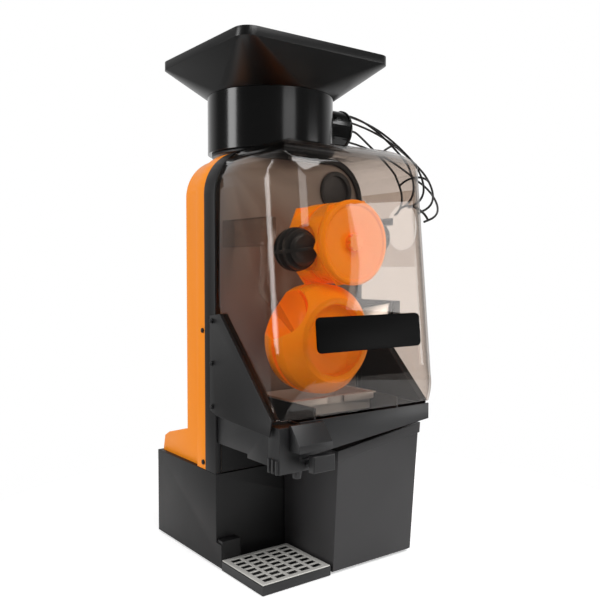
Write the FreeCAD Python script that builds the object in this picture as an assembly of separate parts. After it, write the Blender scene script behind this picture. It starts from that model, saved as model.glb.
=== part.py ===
"""Automatic orange juicer: one solid or group of solids per piece, in millimetres.

The machine is worked out in its own frame: x = 0 is the middle of the body, y = 0 is the front
of the upright arch, z = 0 is the surface it stands on. X points right, Y to the rear, Z up.
At the end every piece is moved so that the origin lies under the middle of the overall box.
"""
import FreeCAD, Part
import math
import os

V = FreeCAD.Vector

# Overall machine
body_half_width = 150.0
sheet = 2.0
seat_gap = 0.3
running_clearance = 0.05
overrun = 5.0

# Base and feet
foot_height = 3.0
foot_radius = 9.0
foot_inset = 22.0
floor_thickness = 2.0
base_top = 147.0
base_depth = 204.0
toe_depth = 16.0
toe_top = 40.0
tongue_depth = 127.0
corner_block_right_side_gap = 35.0
corner_block_top = 45.0

# Upright arch and its back plate
arch_radius = 72.0
crown_clearance = 42.32
arch_depth = 34.0
arch_width = 10.0
plate_front = 4.0
plate_thickness = 3.0
port_side_gap = 58.0
port_drop = 55.0
port_radius = 30.0
port_rim = 4.0
port_stand_out = 3.0

# Rear cover
cover_side_inset = 1.5
cover_wall = 3.0
groove_y = 62.0
rear_inset = 6.0
rear_depth = 117.0
rear_edge_radius = 14.0
step_top_rise = 52.0
step_shoulder_inset = 5.0
step_knee_inset = 31.0
step_knee_rise = 36.0
step_heel_inset = 14.0
step_heel_rise = 27.0
step_rear_inset = 8.0
step_rear_rise = 3.0
vent_half_width = 80.0
vent_bottom_rise = 183.0
vent_top_drop = 110.0
vent_margin = 10.0
vent_thickness = 1.5
vent_slot_height = 4.0
vent_slot_count = 12
vent_slot_half_width = 60.0

# Gussets and their screws
gusset_sheet = 2.0
gusset_top_y = 14.0
gusset_top_rise = 247.0
gusset_shoulder_y = -17.0
gusset_shoulder_rise = 251.0
gusset_nose_y = -156.0
gusset_nose_rise = 109.0
gusset_chin_y = -151.0
gusset_chin_rise = 86.0
gusset_heel_y = -6.0
gusset_heel_rise = 93.0
gusset_foot_rise = 99.0
gusset_flange_width = 14.0
screw_head_radius = 4.0
screw_head_height = 2.5
gusset_screw_y = 7.0
gusset_screw_rises = (105.0, 173.0, 239.0)
cover_screw_y = 41.0
cover_screw_rises = (11.0, 222.0)

# Juice collector, fascia and tap
collector_half_width_side_gap = 4.0
collector_front = -165.0
collector_rear = 0.0
collector_top_rise = 103.0
collector_left_rise = 49.0
collector_right_rise = 82.0
collector_wall = 3.0
tap_body_right_side_gap = 38.0
tap_body_rear = -139.0
tap_body_bottom_rise = 35.0
sump_rear = -85.0
sump_bottom_rise = 43.0
peel_left_side_gap = 60.0
rail_inner_side_gap = 71.0
rail_wall = 3.0
rail_top_rise = 120.7
fascia_thickness = 2.0
fascia_top_rise = 105.0
fascia_overlap = 4.0
rib_height = 3.0
rib_count = 3
rib_width = 5.0
valve_right_side_gap = 76.0
valve_front = -160.0
valve_rear = -136.0
valve_bottom_rise = 33.0
valve_top_rise = 50.0
valve_wall = 2.0
nozzle_side_gap = 46.0
nozzle_y = -150.0
nozzle_radius = 8.0
nozzle_bore = 5.0
nozzle_bottom_rise = 21.0
hood_left_side_gap = 20.0
hood_right_side_gap = 78.0
hood_depth = 25.0
hood_crest = 5.0
hood_brow_rise = 78.0
hood_bottom_rise = 67.0
button_left_side_gap = 40.0
button_bottom_rise = 38.0
button_top_rise = 62.0
button_front = -198.0
button_depth = 12.0
button_travel = 10.0
stem_side_gap = 60.0
stem_rise = 42.0
stem_radius = 3.5
stem_tip_y = -150.0
seal_radius = 5.5
seal_length = 4.0
spring_radius = 5.5
spring_wall = 1.2

# Strainer box
strainer_flange_half_side_gap = 66.0
strainer_front = -111.0
strainer_rear = -12.0
strainer_sheet = 1.5
strainer_depth = 26.0
strainer_side_gap = 1.0
strainer_lip = 9.0
strainer_hole_radius = 2.5
strainer_hole_pitch = 18.0
finger_tab_half = 17.0
finger_tab_depth = 12.0

# Drip tray and grille
tray_right = -26.0
tray_front = -131.0
tray_bottom = 1.0
tray_top = 15.0
tray_wall = 2.0
grille_thickness = 1.7
grille_edge = 1.0
grille_columns = 5
grille_rows = 7
grille_hole_width = 17.0
grille_hole_depth = 10.5
grille_border = 6.0
grille_flange = 3.0

# Waste bin
bin_left = -22.0
bin_right_top_side_gap = 4.0
bin_right_bottom_side_gap = 8.0
bin_front_bottom = -131.0
bin_front_top = -145.0
bin_rear = -3.0
bin_wall = 3.0
bin_rim_left_rise = 47.0
bin_rim_right_rise = 70.0
bin_lip_height = 17.0
bin_lip_out = 2.0

# Smoked front cover and its badge
hood_half_width_side_gap = 3.0
hood_top_rise = 3.0
hood_wall = 3.0
hood_rear = -0.5
crown_radius = 78.0
crown_front = -174.0
brow_y = -200.0
brow_rise = 170.0
tuck_y = -182.0
tuck_rise = 136.0
chin_y = -168.0
chin_rise = 109.0
plan_radius = 55.0
inlet_y = -105.0
inlet_rise = 29.32
inlet_radius = 38.0
badge_left_side_gap = 46.0
badge_right_side_gap = 54.0
badge_bottom_rise = 203.0
badge_top_rise = 253.0
badge_corner = 8.0
badge_thickness = 1.2
catch_half_width = 13.5
catch_depth = 18.0
catch_height = 3.0
catch_hole = 6.0

# Fruit feeder above the machine
feeder_y = 68.0
feeder_radius = 107.0
feeder_wall = 4.0
feeder_mount_top_rise = 5.0
feeder_mount_inset = 7.0
feeder_top_rise = 100.0
collar_rise = 64.0
collar_outer = 34.5
collar_bore = 31.5
collar_end_reach = 4.0
wheel_radius = 101.0
wheel_bottom_rise = 21.0
wheel_rim_rise = 29.0
wheel_cone_rise = 57.0
wheel_hub_radius = 22.0
paddle_count = 4
paddle_thickness = 5.0
paddle_top_rise = 67.0
feeder_shaft_radius = 6.0
feeder_motor_radius = 27.5
feeder_motor_bottom_drop = 51.0

# Hopper
hopper_half_width = 146.0
hopper_front = -78.0
hopper_rear = 192.0
hopper_shoulder_rise = 151.0
hopper_top_rise = 165.0
hopper_corner = 24.0
hopper_wall = 3.0
hopper_spigot = 10.0
hopper_spigot_gap = 0.6
hopper_neck_flat = 2.0

# Wire chute
wire_radius = 1.9
wire_sides = 8
chute_reach = 33.0
chute_turn = 70.0
chute_straight_end = -60.0
chute_end_turn = 45.0
chute_end_reach = 13.0
chute_turn_steps = 5
chute_drops = ((0.0, 0.0), (110.0, 67.0), (168.0, 117.0), (213.0, 156.0), (270.0, 179.0))
chute_hoop_lengths = (3.9, 90.0, 165.0, 232.0)
chute_slope_run = 4.0
chute_bracket_width = 12.0
chute_bracket_sheet = 2.5
chute_bracket_rear = 28.0

# Rotors
upper_x = 1.5
lower_x = -30.0
gear_module = 4.0
rotor_gear_teeth = 37
pinion_teeth = 15
gap_y = -103.0
gap_half = 4.0
shaft_radius = 8.0
core_radius = 36.0
press_phase = 188.0
press_radius = 33.0
press_core_radius = 22.0
press_fin_count = 5
press_fin_pitch = 12.0
press_fin_width = 5.0
press_arm_radius = 13.0
drum_radius = 62.0
drum_half = 33.0
drum_window = 35.0
flange_tip_radius = 69.0
flange_root_radius = 60.0
flange_tips = 6
flange_thickness = 4.0
face_radius = 64.0
face_thickness = 11.0
face_edge = 3.0
face_rim_width = 7.0
face_step = 2.5
face_recess_radius = 40.0
face_recess_depth = 8.0
knob_radius = 13.5
knob_height = 10.0
knob_flutes = 8
knob_flute_radius = 2.2
cup_half = 42.0
cup_rim_radius = 84.0
cup_clearance = 27.07
cup_belly_radius = 82.0
cup_belly_share = 0.45
cup_face_radius = 63.0
cup_pocket_radius = 42.0
cup_mouth_radius = 48.0
cup_pocket_wall = 4.0
cup_pocket_centre = 72.0
cup_recess_radius = 54.0
cup_recess_depth = 13.0
cup_hub_radius = 20.0
gear_front = 38.0
gear_width = 14.0
carrier_front = 62.0
carrier_thickness = 4.0
carrier_side_gap = 24.0
carrier_top_rise = 74.32
carrier_drop = 52.0
post_radius = 6.0
post_inset = 10.0
bearing_housing_radius = 24.0
bearing_housing_length = 23.0
bearing_radius = 18.0
bearing_length = 12.0
bush_radius = 13.0
bush_length = 8.0
shaft_end_y = 69.0

# Drive
pinion_shaft_radius = 7.0
gearbox_half_width = 44.0
gearbox_rear_inset = 6.0
gearbox_height = 108.0
gearbox_drop = 71.0
motor_radius = 41.0
motor_bottom = 22.0
motor_inset = 27.0

# Knife, holder and peel ejector
knife_thickness = 2.5
knife_tip_x = 20.0
knife_tip_rise = 19.93
knife_belly_x = 66.0
knife_root_side_gap = 19.0
knife_root_low_rise = 26.93
knife_root_high_rise = 50.93
knife_belly_low_rise = 10.93
knife_belly_high_rise = 42.93
holder_left_side_gap = 28.0
holder_right_side_gap = 14.0
holder_front = -111.0
holder_slot = 2.7
ejector_left_side_gap = 16.0
ejector_right_side_gap = 38.0
ejector_bottom_drop = 5.68
ejector_top_rise = 35.32
ejector_front = -111.0
ejector_thickness = 3.0
ejector_elbow_side_gap = 28.0
ejector_elbow_rise = 68.93
ejector_tip_x = -73.0
ejector_tip_rise = 4.93
ejector_width = 14.0

# Power inlet and switch on the rear of the base
inlet_plate_left = 62.0
inlet_plate_right = 122.0
inlet_plate_bottom = 42.0
inlet_plate_top = 78.0
inlet_plate_thickness = 2.0
socket_centre_x = 104.0
socket_half_width = 12.0
socket_half_height = 8.0
socket_depth = 22.0
rocker_centre_x = 77.0
rocker_half_width = 7.0
rocker_half_height = 11.0
rocker_depth = 9.0
rocker_bulge = 3.0
rocker_gap = 0.8
rocker_pin_radius = 1.5

# Places that follow from the sizes above
diagonal_share = math.sqrt(0.5)
floor_bottom = foot_height
floor_top = foot_height + floor_thickness
gap_front = gap_y - gap_half
gap_back = gap_y + gap_half
plate_rear = plate_front + plate_thickness
carrier_rear = carrier_front + carrier_thickness
step_top = base_top + step_top_rise
step_knee_z = base_top + step_knee_rise
step_heel_z = base_top + step_heel_rise
step_rear_z = base_top + step_rear_rise
vent_bottom = base_top + vent_bottom_rise
gusset_top_z = base_top + gusset_top_rise
gusset_shoulder_z = base_top + gusset_shoulder_rise
gusset_nose_z = base_top + gusset_nose_rise
gusset_chin_z = base_top + gusset_chin_rise
gusset_heel_z = base_top + gusset_heel_rise
gusset_foot_z = base_top + gusset_foot_rise
collector_top = base_top + collector_top_rise
collector_left_z = base_top + collector_left_rise
collector_right_z = base_top + collector_right_rise
tap_body_bottom = base_top + tap_body_bottom_rise
sump_bottom = base_top + sump_bottom_rise
rail_top = base_top + rail_top_rise
fascia_top = base_top + fascia_top_rise
valve_bottom = base_top + valve_bottom_rise
valve_top = base_top + valve_top_rise
nozzle_bottom = base_top + nozzle_bottom_rise
hood_brow_z = base_top + hood_brow_rise
hood_bottom = base_top + hood_bottom_rise
button_bottom = base_top + button_bottom_rise
button_top = base_top + button_top_rise
stem_z = base_top + stem_rise
bin_rim_left_z = base_top + bin_rim_left_rise
bin_rim_right_z = base_top + bin_rim_right_rise
brow_z = base_top + brow_rise
tuck_z = base_top + tuck_rise
chin_z = base_top + chin_rise
badge_bottom = base_top + badge_bottom_rise
badge_top = base_top + badge_top_rise
gusset_screw_heights = [base_top + rise for rise in gusset_screw_rises]
cover_screw_heights = [base_top + rise for rise in cover_screw_rises]

# Rotors stand on the collector, and the top of the machine follows from them
rotor_distance = gear_module * rotor_gear_teeth
press_centre = rotor_distance / 2
lower_z = collector_top + cup_rim_radius + cup_clearance
upper_z = lower_z + math.sqrt(rotor_distance ** 2 - (upper_x - lower_x) ** 2)
meshing_angle = math.degrees(math.atan2(upper_z - lower_z, upper_x - lower_x))
cup_phase = 2 * meshing_angle + 180.0 - press_phase
pinion_distance = gear_module * (rotor_gear_teeth + pinion_teeth) / 2
pinion_x = lower_x
pinion_z = lower_z - pinion_distance
carrier_bottom = pinion_z - carrier_drop
gearbox_bottom = pinion_z - gearbox_drop
arch_top = upper_z + press_centre + press_radius + crown_clearance
knife_tip_z = lower_z + knife_tip_rise
knife_root_low = lower_z + knife_root_low_rise
knife_root_high = lower_z + knife_root_high_rise
knife_belly_low = lower_z + knife_belly_low_rise
knife_belly_high = lower_z + knife_belly_high_rise
ejector_elbow_z = lower_z + ejector_elbow_rise
ejector_tip_z = lower_z + ejector_tip_rise
ejector_top = upper_z + ejector_top_rise
inlet_z = upper_z + inlet_rise
carrier_top = upper_z + carrier_top_rise
ejector_bottom = upper_z - ejector_bottom_drop
hood_top = arch_top + hood_top_rise
feeder_mount_top = arch_top + feeder_mount_top_rise
feeder_top = arch_top + feeder_top_rise
collar_z = arch_top + collar_rise
wheel_bottom = arch_top + wheel_bottom_rise
wheel_rim_z = arch_top + wheel_rim_rise
wheel_cone_z = arch_top + wheel_cone_rise
paddle_top = arch_top + paddle_top_rise
hopper_shoulder_z = arch_top + hopper_shoulder_rise
hopper_top = arch_top + hopper_top_rise
port_z = arch_top - port_drop
vent_top = arch_top - vent_top_drop
feeder_motor_bottom = arch_top - feeder_motor_bottom_drop
chute_z_points = [(length, collar_z - drop) for length, drop in chute_drops]

# Places across the machine and from front to rear
peel_left = body_half_width - peel_left_side_gap
strainer_flange_half = body_half_width - strainer_flange_half_side_gap
rail_inner_x = body_half_width - rail_inner_side_gap
bin_right_top = body_half_width - bin_right_top_side_gap
bin_right_bottom = body_half_width - bin_right_bottom_side_gap
collector_half_width = body_half_width - collector_half_width_side_gap
hood_half_width = body_half_width - hood_half_width_side_gap
holder_left = body_half_width - holder_left_side_gap
holder_right = body_half_width - holder_right_side_gap
knife_root_x = body_half_width - knife_root_side_gap
carrier_half_width = body_half_width - carrier_side_gap
port_x = body_half_width - port_side_gap
badge_right = body_half_width - badge_right_side_gap
collar_end_x = body_half_width + collar_end_reach
chute_end_x = body_half_width + chute_end_reach
corner_block_right = -body_half_width + corner_block_right_side_gap
tap_body_right = -body_half_width + tap_body_right_side_gap
valve_right = -body_half_width + valve_right_side_gap
nozzle_x = -body_half_width + nozzle_side_gap
hood_left = -body_half_width + hood_left_side_gap
hood_right = -body_half_width + hood_right_side_gap
button_left = -body_half_width + button_left_side_gap
stem_x = -body_half_width + stem_side_gap
ejector_left = -body_half_width + ejector_left_side_gap
ejector_right = -body_half_width + ejector_right_side_gap
ejector_elbow_x = -body_half_width + ejector_elbow_side_gap
badge_left = -body_half_width + badge_left_side_gap
gearbox_rear = rear_depth - gearbox_rear_inset
motor_y = rear_depth - motor_inset
step_shoulder_y = rear_depth - step_shoulder_inset
step_knee_y = base_depth - step_knee_inset
step_heel_y = base_depth - step_heel_inset
step_rear_y = base_depth - step_rear_inset
peel_front = collector_front + collector_wall
peel_rear = collector_rear - collector_wall
peel_right = collector_half_width - collector_wall


def box(x0, x1, y0, y1, z0, z1):
    return Part.makeBox(x1 - x0, y1 - y0, z1 - z0, V(x0, y0, z0))


def rod(radius, start, end):
    axis = end - start
    return Part.makeCylinder(radius, axis.Length, start, axis)


def rod_x(radius, y, z, x0, x1):
    return rod(radius, V(x0, y, z), V(x1, y, z))


def rod_y(radius, x, z, y0, y1):
    return rod(radius, V(x, y0, z), V(x, y1, z))


def rod_z(radius, x, y, z0, z1):
    return rod(radius, V(x, y, z0), V(x, y, z1))


def face_of(points):
    return Part.Face(Part.makePolygon(points + [points[0]]))


def prism_x(outline, x0, x1):
    """Outline of (y, z) points drawn out along X."""
    return face_of([V(x0, y, z) for y, z in outline]).extrude(V(x1 - x0, 0, 0))


def prism_y(outline, y0, y1):
    """Outline of (x, z) points drawn out along Y."""
    return face_of([V(x, y0, z) for x, z in outline]).extrude(V(0, y1 - y0, 0))


def prism_z(outline, z0, z1):
    """Outline of (x, y) points drawn out along Z."""
    return face_of([V(x, y, z0) for x, y in outline]).extrude(V(0, 0, z1 - z0))


def join(shapes):
    joined = shapes[0]
    for shape in shapes[1:]:
        joined = joined.fuse(shape)
    return joined.removeSplitter()


def group(shapes):
    return Part.makeCompound(shapes)


def mirrored(shape):
    """The same piece on the other side of the machine."""
    return shape.mirror(V(0, 0, 0), V(1, 0, 0))


def quarter(centre, start, end, across):
    """Quarter-circle arc from start to end about a centre, bulging towards across."""
    radius = (start - centre).Length
    middle = centre + across * radius
    return Part.Arc(start, middle, end).toShape()


def arch(half, bottom, top, corner, y0, y1):
    """Door-shaped block between two planes of constant y, its two top corners rounded."""
    left_centre = V(-half + corner, y0, top - corner)
    right_centre = V(half - corner, y0, top - corner)
    up_left = V(-diagonal_share, 0, diagonal_share)
    up_right = V(diagonal_share, 0, diagonal_share)
    foot_left = V(-half, y0, bottom)
    foot_right = V(half, y0, bottom)
    side_left = V(-half, y0, top - corner)
    side_right = V(half, y0, top - corner)
    crown_left = V(-half + corner, y0, top)
    crown_right = V(half - corner, y0, top)
    edges = [
        Part.makeLine(foot_left, side_left),
        quarter(left_centre, side_left, crown_left, up_left),
        Part.makeLine(crown_left, crown_right),
        quarter(right_centre, crown_right, side_right, up_right),
        Part.makeLine(side_right, foot_right),
        Part.makeLine(foot_right, foot_left),
    ]
    return Part.Face(Part.Wire(edges)).extrude(V(0, y1 - y0, 0))


def rounded_rectangle(x0, x1, y0, y1, corner, z):
    """Closed wire of four lines and four quarter arcs at height z."""
    right_up = V(diagonal_share, diagonal_share, 0)
    left_up = V(-diagonal_share, diagonal_share, 0)
    left_down = V(-diagonal_share, -diagonal_share, 0)
    right_down = V(diagonal_share, -diagonal_share, 0)
    a = V(x1, y0 + corner, z)
    b = V(x1, y1 - corner, z)
    c = V(x1 - corner, y1, z)
    d = V(x0 + corner, y1, z)
    e = V(x0, y1 - corner, z)
    f = V(x0, y0 + corner, z)
    g = V(x0 + corner, y0, z)
    h = V(x1 - corner, y0, z)
    return Part.Wire([
        Part.makeLine(a, b),
        quarter(V(x1 - corner, y1 - corner, z), b, c, right_up),
        Part.makeLine(c, d),
        quarter(V(x0 + corner, y1 - corner, z), d, e, left_up),
        Part.makeLine(e, f),
        quarter(V(x0 + corner, y0 + corner, z), f, g, left_down),
        Part.makeLine(g, h),
        quarter(V(x1 - corner, y0 + corner, z), h, a, right_down),
    ])


def turned(profile, x, z):
    """Solid of revolution about an axis along Y; the profile has (radius, y) points."""
    face = face_of([V(x + radius, y, z) for radius, y in profile])
    return face.revolve(V(x, 0, z), V(0, 1, 0), 360)


def spoke(radius, x, y, z, angle, start, end):
    """Rod that points away from an axis along Y, at an angle seen from the front."""
    heading = V(math.cos(math.radians(angle)), 0, math.sin(math.radians(angle)))
    centre = V(x, y, z)
    return rod(radius, centre + heading * start, centre + heading * end)


def ball_at(radius, x, y, z, angle, distance):
    heading = V(math.cos(math.radians(angle)), 0, math.sin(math.radians(angle)))
    return Part.makeSphere(radius, V(x, y, z) + heading * distance)


def base_floor_plate():
    """Floor sheet with one tongue under the drip tray and one under the waste bin."""
    tray_tongue_left = -body_half_width + 2 * tray_wall
    tray_tongue_right = tray_right - 2 * tray_wall
    bin_tongue_left = bin_left + tray_wall
    main = box(-body_half_width, body_half_width, 0, base_depth, floor_bottom, floor_top)
    toe = box(-body_half_width, tray_right, -toe_depth, 0, floor_bottom, floor_top)
    tray_tongue = box(tray_tongue_left, tray_tongue_right, -tongue_depth, 0, floor_bottom, floor_top)
    bin_tongue = box(bin_tongue_left, bin_right_bottom, -tongue_depth, 0, floor_bottom, floor_top)
    right_toe = box(bin_right_bottom, body_half_width, -toe_depth, 0, floor_bottom, floor_top)
    return join([main, toe, tray_tongue, bin_tongue, right_toe])


def rubber_feet():
    foot_x = body_half_width - foot_inset
    rear_y = base_depth - foot_inset
    front_y = -tongue_depth + foot_inset
    feet = []
    for x in (-foot_x, foot_x):
        for y in (front_y, rear_y):
            feet.append(rod_z(foot_radius, x, y, 0, foot_height))
    return group(feet)


def base_chassis():
    """Folded sheet box: niche wall in front, low toes beside tray and bin, holes for motor and inlet."""
    outer = box(-body_half_width, body_half_width, 0, base_depth, floor_top, base_top)
    inner = box(-body_half_width + sheet, body_half_width - sheet, sheet, base_depth - sheet,
                floor_top - overrun, base_top - sheet)
    toe = box(-body_half_width, -body_half_width + sheet, -toe_depth, 0, floor_top, toe_top)
    motor_hole = rod_z(motor_radius + sheet, pinion_x, motor_y, base_top - overrun, base_top + overrun)
    socket_hole = box(socket_centre_x - socket_half_width - seat_gap, socket_centre_x + socket_half_width + seat_gap,
                      base_depth - overrun, base_depth + overrun,
                      inlet_middle_z() - socket_half_height - seat_gap,
                      inlet_middle_z() + socket_half_height + seat_gap)
    rocker_hole = box(rocker_centre_x - rocker_half_width - sheet, rocker_centre_x + rocker_half_width + sheet,
                      base_depth - overrun, base_depth + overrun,
                      inlet_middle_z() - rocker_half_height - sheet,
                      inlet_middle_z() + rocker_half_height + sheet)
    shell = outer.cut(inner).cut(motor_hole).cut(socket_hole).cut(rocker_hole)
    return join([shell, toe, mirrored(toe)])


def inlet_middle_z():
    return (inlet_plate_bottom + inlet_plate_top) / 2


def corner_block():
    """Low bracket behind the rear left corner of the drip tray."""
    return box(-body_half_width + sheet, corner_block_right, -toe_depth, 0, floor_top, corner_block_top)


def frame_band():
    """Upright arch bent from thick bar, standing on the base."""
    outer = arch(body_half_width, base_top, arch_top, arch_radius, 0, arch_depth)
    inner = arch(body_half_width - arch_width, base_top - overrun, arch_top - arch_width,
                 arch_radius - arch_width, -overrun, arch_depth + overrun)
    return outer.cut(inner)


def back_plate():
    """Sheet inside the arch; both rotor shafts pass through it, and a round port is at its upper right."""
    plate = arch(body_half_width - arch_width, base_top, arch_top - arch_width,
                 arch_radius - arch_width, plate_front, plate_rear)
    upper_hole = rod_y(bearing_radius, upper_x, upper_z, -overrun, arch_depth)
    lower_hole = rod_y(bearing_radius, lower_x, lower_z, -overrun, arch_depth)
    port = rod_y(port_radius, port_x, port_z, -overrun, arch_depth)
    return plate.cut(upper_hole).cut(lower_hole).cut(port)


def port_plug():
    """Black plug with a rim that closes the round port."""
    rim = rod_y(port_radius + port_rim, port_x, port_z, plate_front - port_stand_out, plate_front)
    body = rod_y(port_radius - running_clearance, port_x, port_z, plate_front - port_stand_out, plate_rear)
    dish = rod_y(port_radius - port_rim, port_x, port_z, plate_front - overrun, plate_front + sheet)
    return join([rim, body]).cut(dish)


def rear_form(inset):
    """Outer form of the rear cover, or its inside when the inset is the wall."""
    half = body_half_width - cover_side_inset
    front = arch(half - inset, base_top, arch_top - inset, arch_radius - cover_side_inset - inset,
                 arch_depth, groove_y - inset)
    deep = arch(half - rear_inset - inset, base_top, arch_top - rear_inset - inset,
                arch_radius - rear_inset - inset, arch_depth, rear_depth - inset)
    rear_edges = [edge for edge in deep.Edges if edge.BoundBox.YMin > rear_depth - inset - seat_gap
                  and edge.BoundBox.ZMax > base_top + seat_gap]
    deep = deep.makeFillet(rear_edge_radius - inset, rear_edges)
    step_half = half - rear_inset - inset
    step = prism_x([(arch_depth, base_top),
                    (step_rear_y - inset, base_top),
                    (step_rear_y - inset, step_rear_z - inset),
                    (step_heel_y - inset, step_heel_z - inset),
                    (step_knee_y - inset, step_knee_z - inset),
                    (step_shoulder_y - inset, step_top - inset),
                    (arch_depth, step_top - inset)], -step_half, step_half)
    return front.fuse(deep).fuse(step)


def rear_cover():
    """Moulded housing behind the arch: full-size front part, groove, slimmer rear part, deep low step."""
    shell = rear_form(0).cut(rear_form(cover_wall))
    motor_hole = rod_z(feeder_motor_radius + sheet, 0, feeder_y, arch_top - rear_inset - cover_wall - overrun,
                       arch_top + overrun)
    vent_hole = box(-vent_half_width, vent_half_width, rear_depth - cover_wall - overrun,
                    rear_depth + overrun, vent_bottom, vent_top)
    return shell.cut(motor_hole).cut(vent_hole)


def rear_vent_panel():
    """Service panel on the back with rows of ventilation slots."""
    panel = box(-vent_half_width - vent_margin, vent_half_width + vent_margin, rear_depth,
                rear_depth + vent_thickness, vent_bottom - vent_margin, vent_top + vent_margin)
    pitch = (vent_top - vent_bottom) / vent_slot_count
    slots = []
    for row in range(vent_slot_count):
        middle = vent_bottom + pitch * (row + 0.5)
        slots.append(box(-vent_slot_half_width, vent_slot_half_width, rear_depth - overrun,
                         rear_depth + overrun, middle - vent_slot_height / 2, middle + vent_slot_height / 2))
    return panel.cut(group(slots))


def flange_line():
    """Unit vectors along the slanted gusset edge, downhill, and square to it into the gusset."""
    along = V(0, gusset_nose_y - gusset_shoulder_y, gusset_nose_z - gusset_shoulder_z).normalize()
    inward = V(0, -along.z, along.y)
    return along, inward


def left_gusset():
    """Side plate with a flange folded inwards along its slanted edge, where the front cover rests."""
    outer = -body_half_width - gusset_sheet
    plate = prism_x([(gusset_top_y, gusset_top_z), (gusset_shoulder_y, gusset_shoulder_z),
                     (gusset_nose_y, gusset_nose_z), (gusset_chin_y, gusset_chin_z),
                     (gusset_heel_y, gusset_heel_z), (gusset_top_y, gusset_foot_z)],
                    outer, -body_half_width)
    along, inward = flange_line()
    top = V(0, gusset_shoulder_y, gusset_shoulder_z)
    end = V(0, gusset_nose_y, gusset_nose_z)
    corners = [top, end, end + inward * gusset_sheet, top + inward * gusset_sheet]
    flange = prism_x([(p.y, p.z) for p in corners], outer, outer + gusset_flange_width)
    return join([plate, flange])


def right_gusset():
    return mirrored(left_gusset())


def screw_row(y, heights, surface):
    """Screw heads on the left face at x = -surface, and the same on the right."""
    heads = []
    for z in heights:
        head = rod_x(screw_head_radius, y, z, -surface - screw_head_height, -surface)
        heads += [head, mirrored(head)]
    return heads


def gusset_screws():
    return group(screw_row(gusset_screw_y, gusset_screw_heights, body_half_width + gusset_sheet))


def cover_screws():
    return group(screw_row(cover_screw_y, cover_screw_heights, body_half_width - cover_side_inset))


def collector_floor_z(x):
    """Height of the underside of the collector, which falls to the left."""
    slope = (collector_right_z - collector_left_z) / (2 * collector_half_width)
    return collector_left_z + slope * (x + collector_half_width)


def collector_form(left, right, front, rear, drop, top):
    return prism_y([(left, collector_floor_z(left) + drop), (right, collector_floor_z(right) + drop),
                    (right, top), (left, top)], front, rear)


def juice_collector():
    """Tank under the strainer with a floor that falls to the tap, and a peel shaft at its right."""
    wall = collector_wall
    half = collector_half_width
    outer = collector_form(-half, half, collector_front, collector_rear, 0, collector_top)
    corner = box(-half - overrun, tap_body_right, collector_front - overrun, tap_body_rear, 0, collector_top + overrun)
    hollow = collector_form(-half + wall, peel_left - wall, collector_front + wall, collector_rear - wall,
                            wall, collector_top + overrun)
    hollow_corner = box(-half, tap_body_right + wall, collector_front, tap_body_rear + wall, 0,
                        collector_top + overrun)
    peel_shaft = box(peel_left, peel_right, peel_front, peel_rear, 0, collector_top + overrun)
    tank = outer.cut(corner).cut(hollow.cut(hollow_corner)).cut(peel_shaft)
    rails = []
    for x in (-rail_inner_x - rail_wall, rail_inner_x):
        rails.append(collector_form(x, x + rail_wall, collector_front + wall, collector_rear - wall,
                                    wall / 2, rail_top))
    outlet = rod_z(nozzle_bore, nozzle_x, nozzle_y, valve_bottom, collector_top)
    sump = box(-half, tap_body_right, tap_body_rear, sump_rear, sump_bottom, collector_floor_z(-half) + wall)
    return join([tank, sump] + rails).cut(outlet)


def front_fascia():
    """Wedge-shaped face plate in front of the collector."""
    left = tap_body_right + seat_gap
    right = collector_half_width
    return prism_y([(left, collector_floor_z(left)), (right, collector_floor_z(right) - fascia_overlap / 2),
                    (right, fascia_top), (left, fascia_top)],
                   collector_front - fascia_thickness, collector_front)


def tap_body():
    """Ribbed block at the front left corner of the collector."""
    front = collector_front - fascia_thickness
    block = box(-collector_half_width, tap_body_right, front, tap_body_rear, tap_body_bottom,
                collector_top - collector_wall)
    shoulder = prism_x([(front, collector_top), (front - overrun, collector_top),
                        (front - overrun, collector_top - 4 * collector_wall)],
                       -collector_half_width - overrun, tap_body_right + overrun)
    block = block.cut(shoulder)
    pitch = (tap_body_rear - front) / rib_count
    ribs = []
    for index in range(rib_count):
        middle = front + pitch * (index + 0.5)
        ribs.append(box(-collector_half_width - rib_height, -collector_half_width, middle - rib_width / 2,
                        middle + rib_width / 2, tap_body_bottom, collector_left_z + 2 * collector_wall))
    return join([block] + ribs)


def tap_valve():
    """Valve block under the collector floor with the bore for the push stem."""
    block = box(tap_body_right + seat_gap, valve_right, valve_front, valve_rear, valve_bottom, valve_top)
    neck = rod_z(nozzle_radius, nozzle_x, nozzle_y, valve_top, collector_floor_z(nozzle_x - nozzle_radius))
    drain = rod_z(nozzle_bore, nozzle_x, nozzle_y, valve_bottom - overrun, collector_top)
    stem_bore = rod_y(stem_radius + running_clearance, stem_x, stem_z, valve_front - overrun, valve_rear - valve_wall)
    seal_bore = rod_y(seal_radius + running_clearance, stem_x, stem_z, stem_tip_y - 2 * seal_length,
                      valve_rear - valve_wall)
    return join([block, neck]).cut(drain).cut(stem_bore).cut(seal_bore)


def tap_nozzle():
    """Round spout under the valve."""
    body = Part.makeCone(nozzle_radius - sheet, nozzle_radius, valve_bottom - nozzle_bottom,
                         V(nozzle_x, nozzle_y, nozzle_bottom))
    return body.cut(rod_z(nozzle_bore, nozzle_x, nozzle_y, nozzle_bottom - overrun, valve_bottom + overrun))


def tap_hood():
    """Sloping hood over the push block, open below."""
    back = collector_front - fascia_thickness
    front = back - hood_depth

    def form(inset, low):
        return prism_x([(back + overrun if inset else back, low), (back + overrun if inset else back,
                        collector_top - inset), (back - hood_crest, collector_top - inset),
                        (front + inset, hood_brow_z - inset), (front + inset, low)],
                       hood_left + inset, hood_right - inset)

    return form(0, hood_bottom).cut(form(sheet, hood_bottom - overrun))


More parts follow.
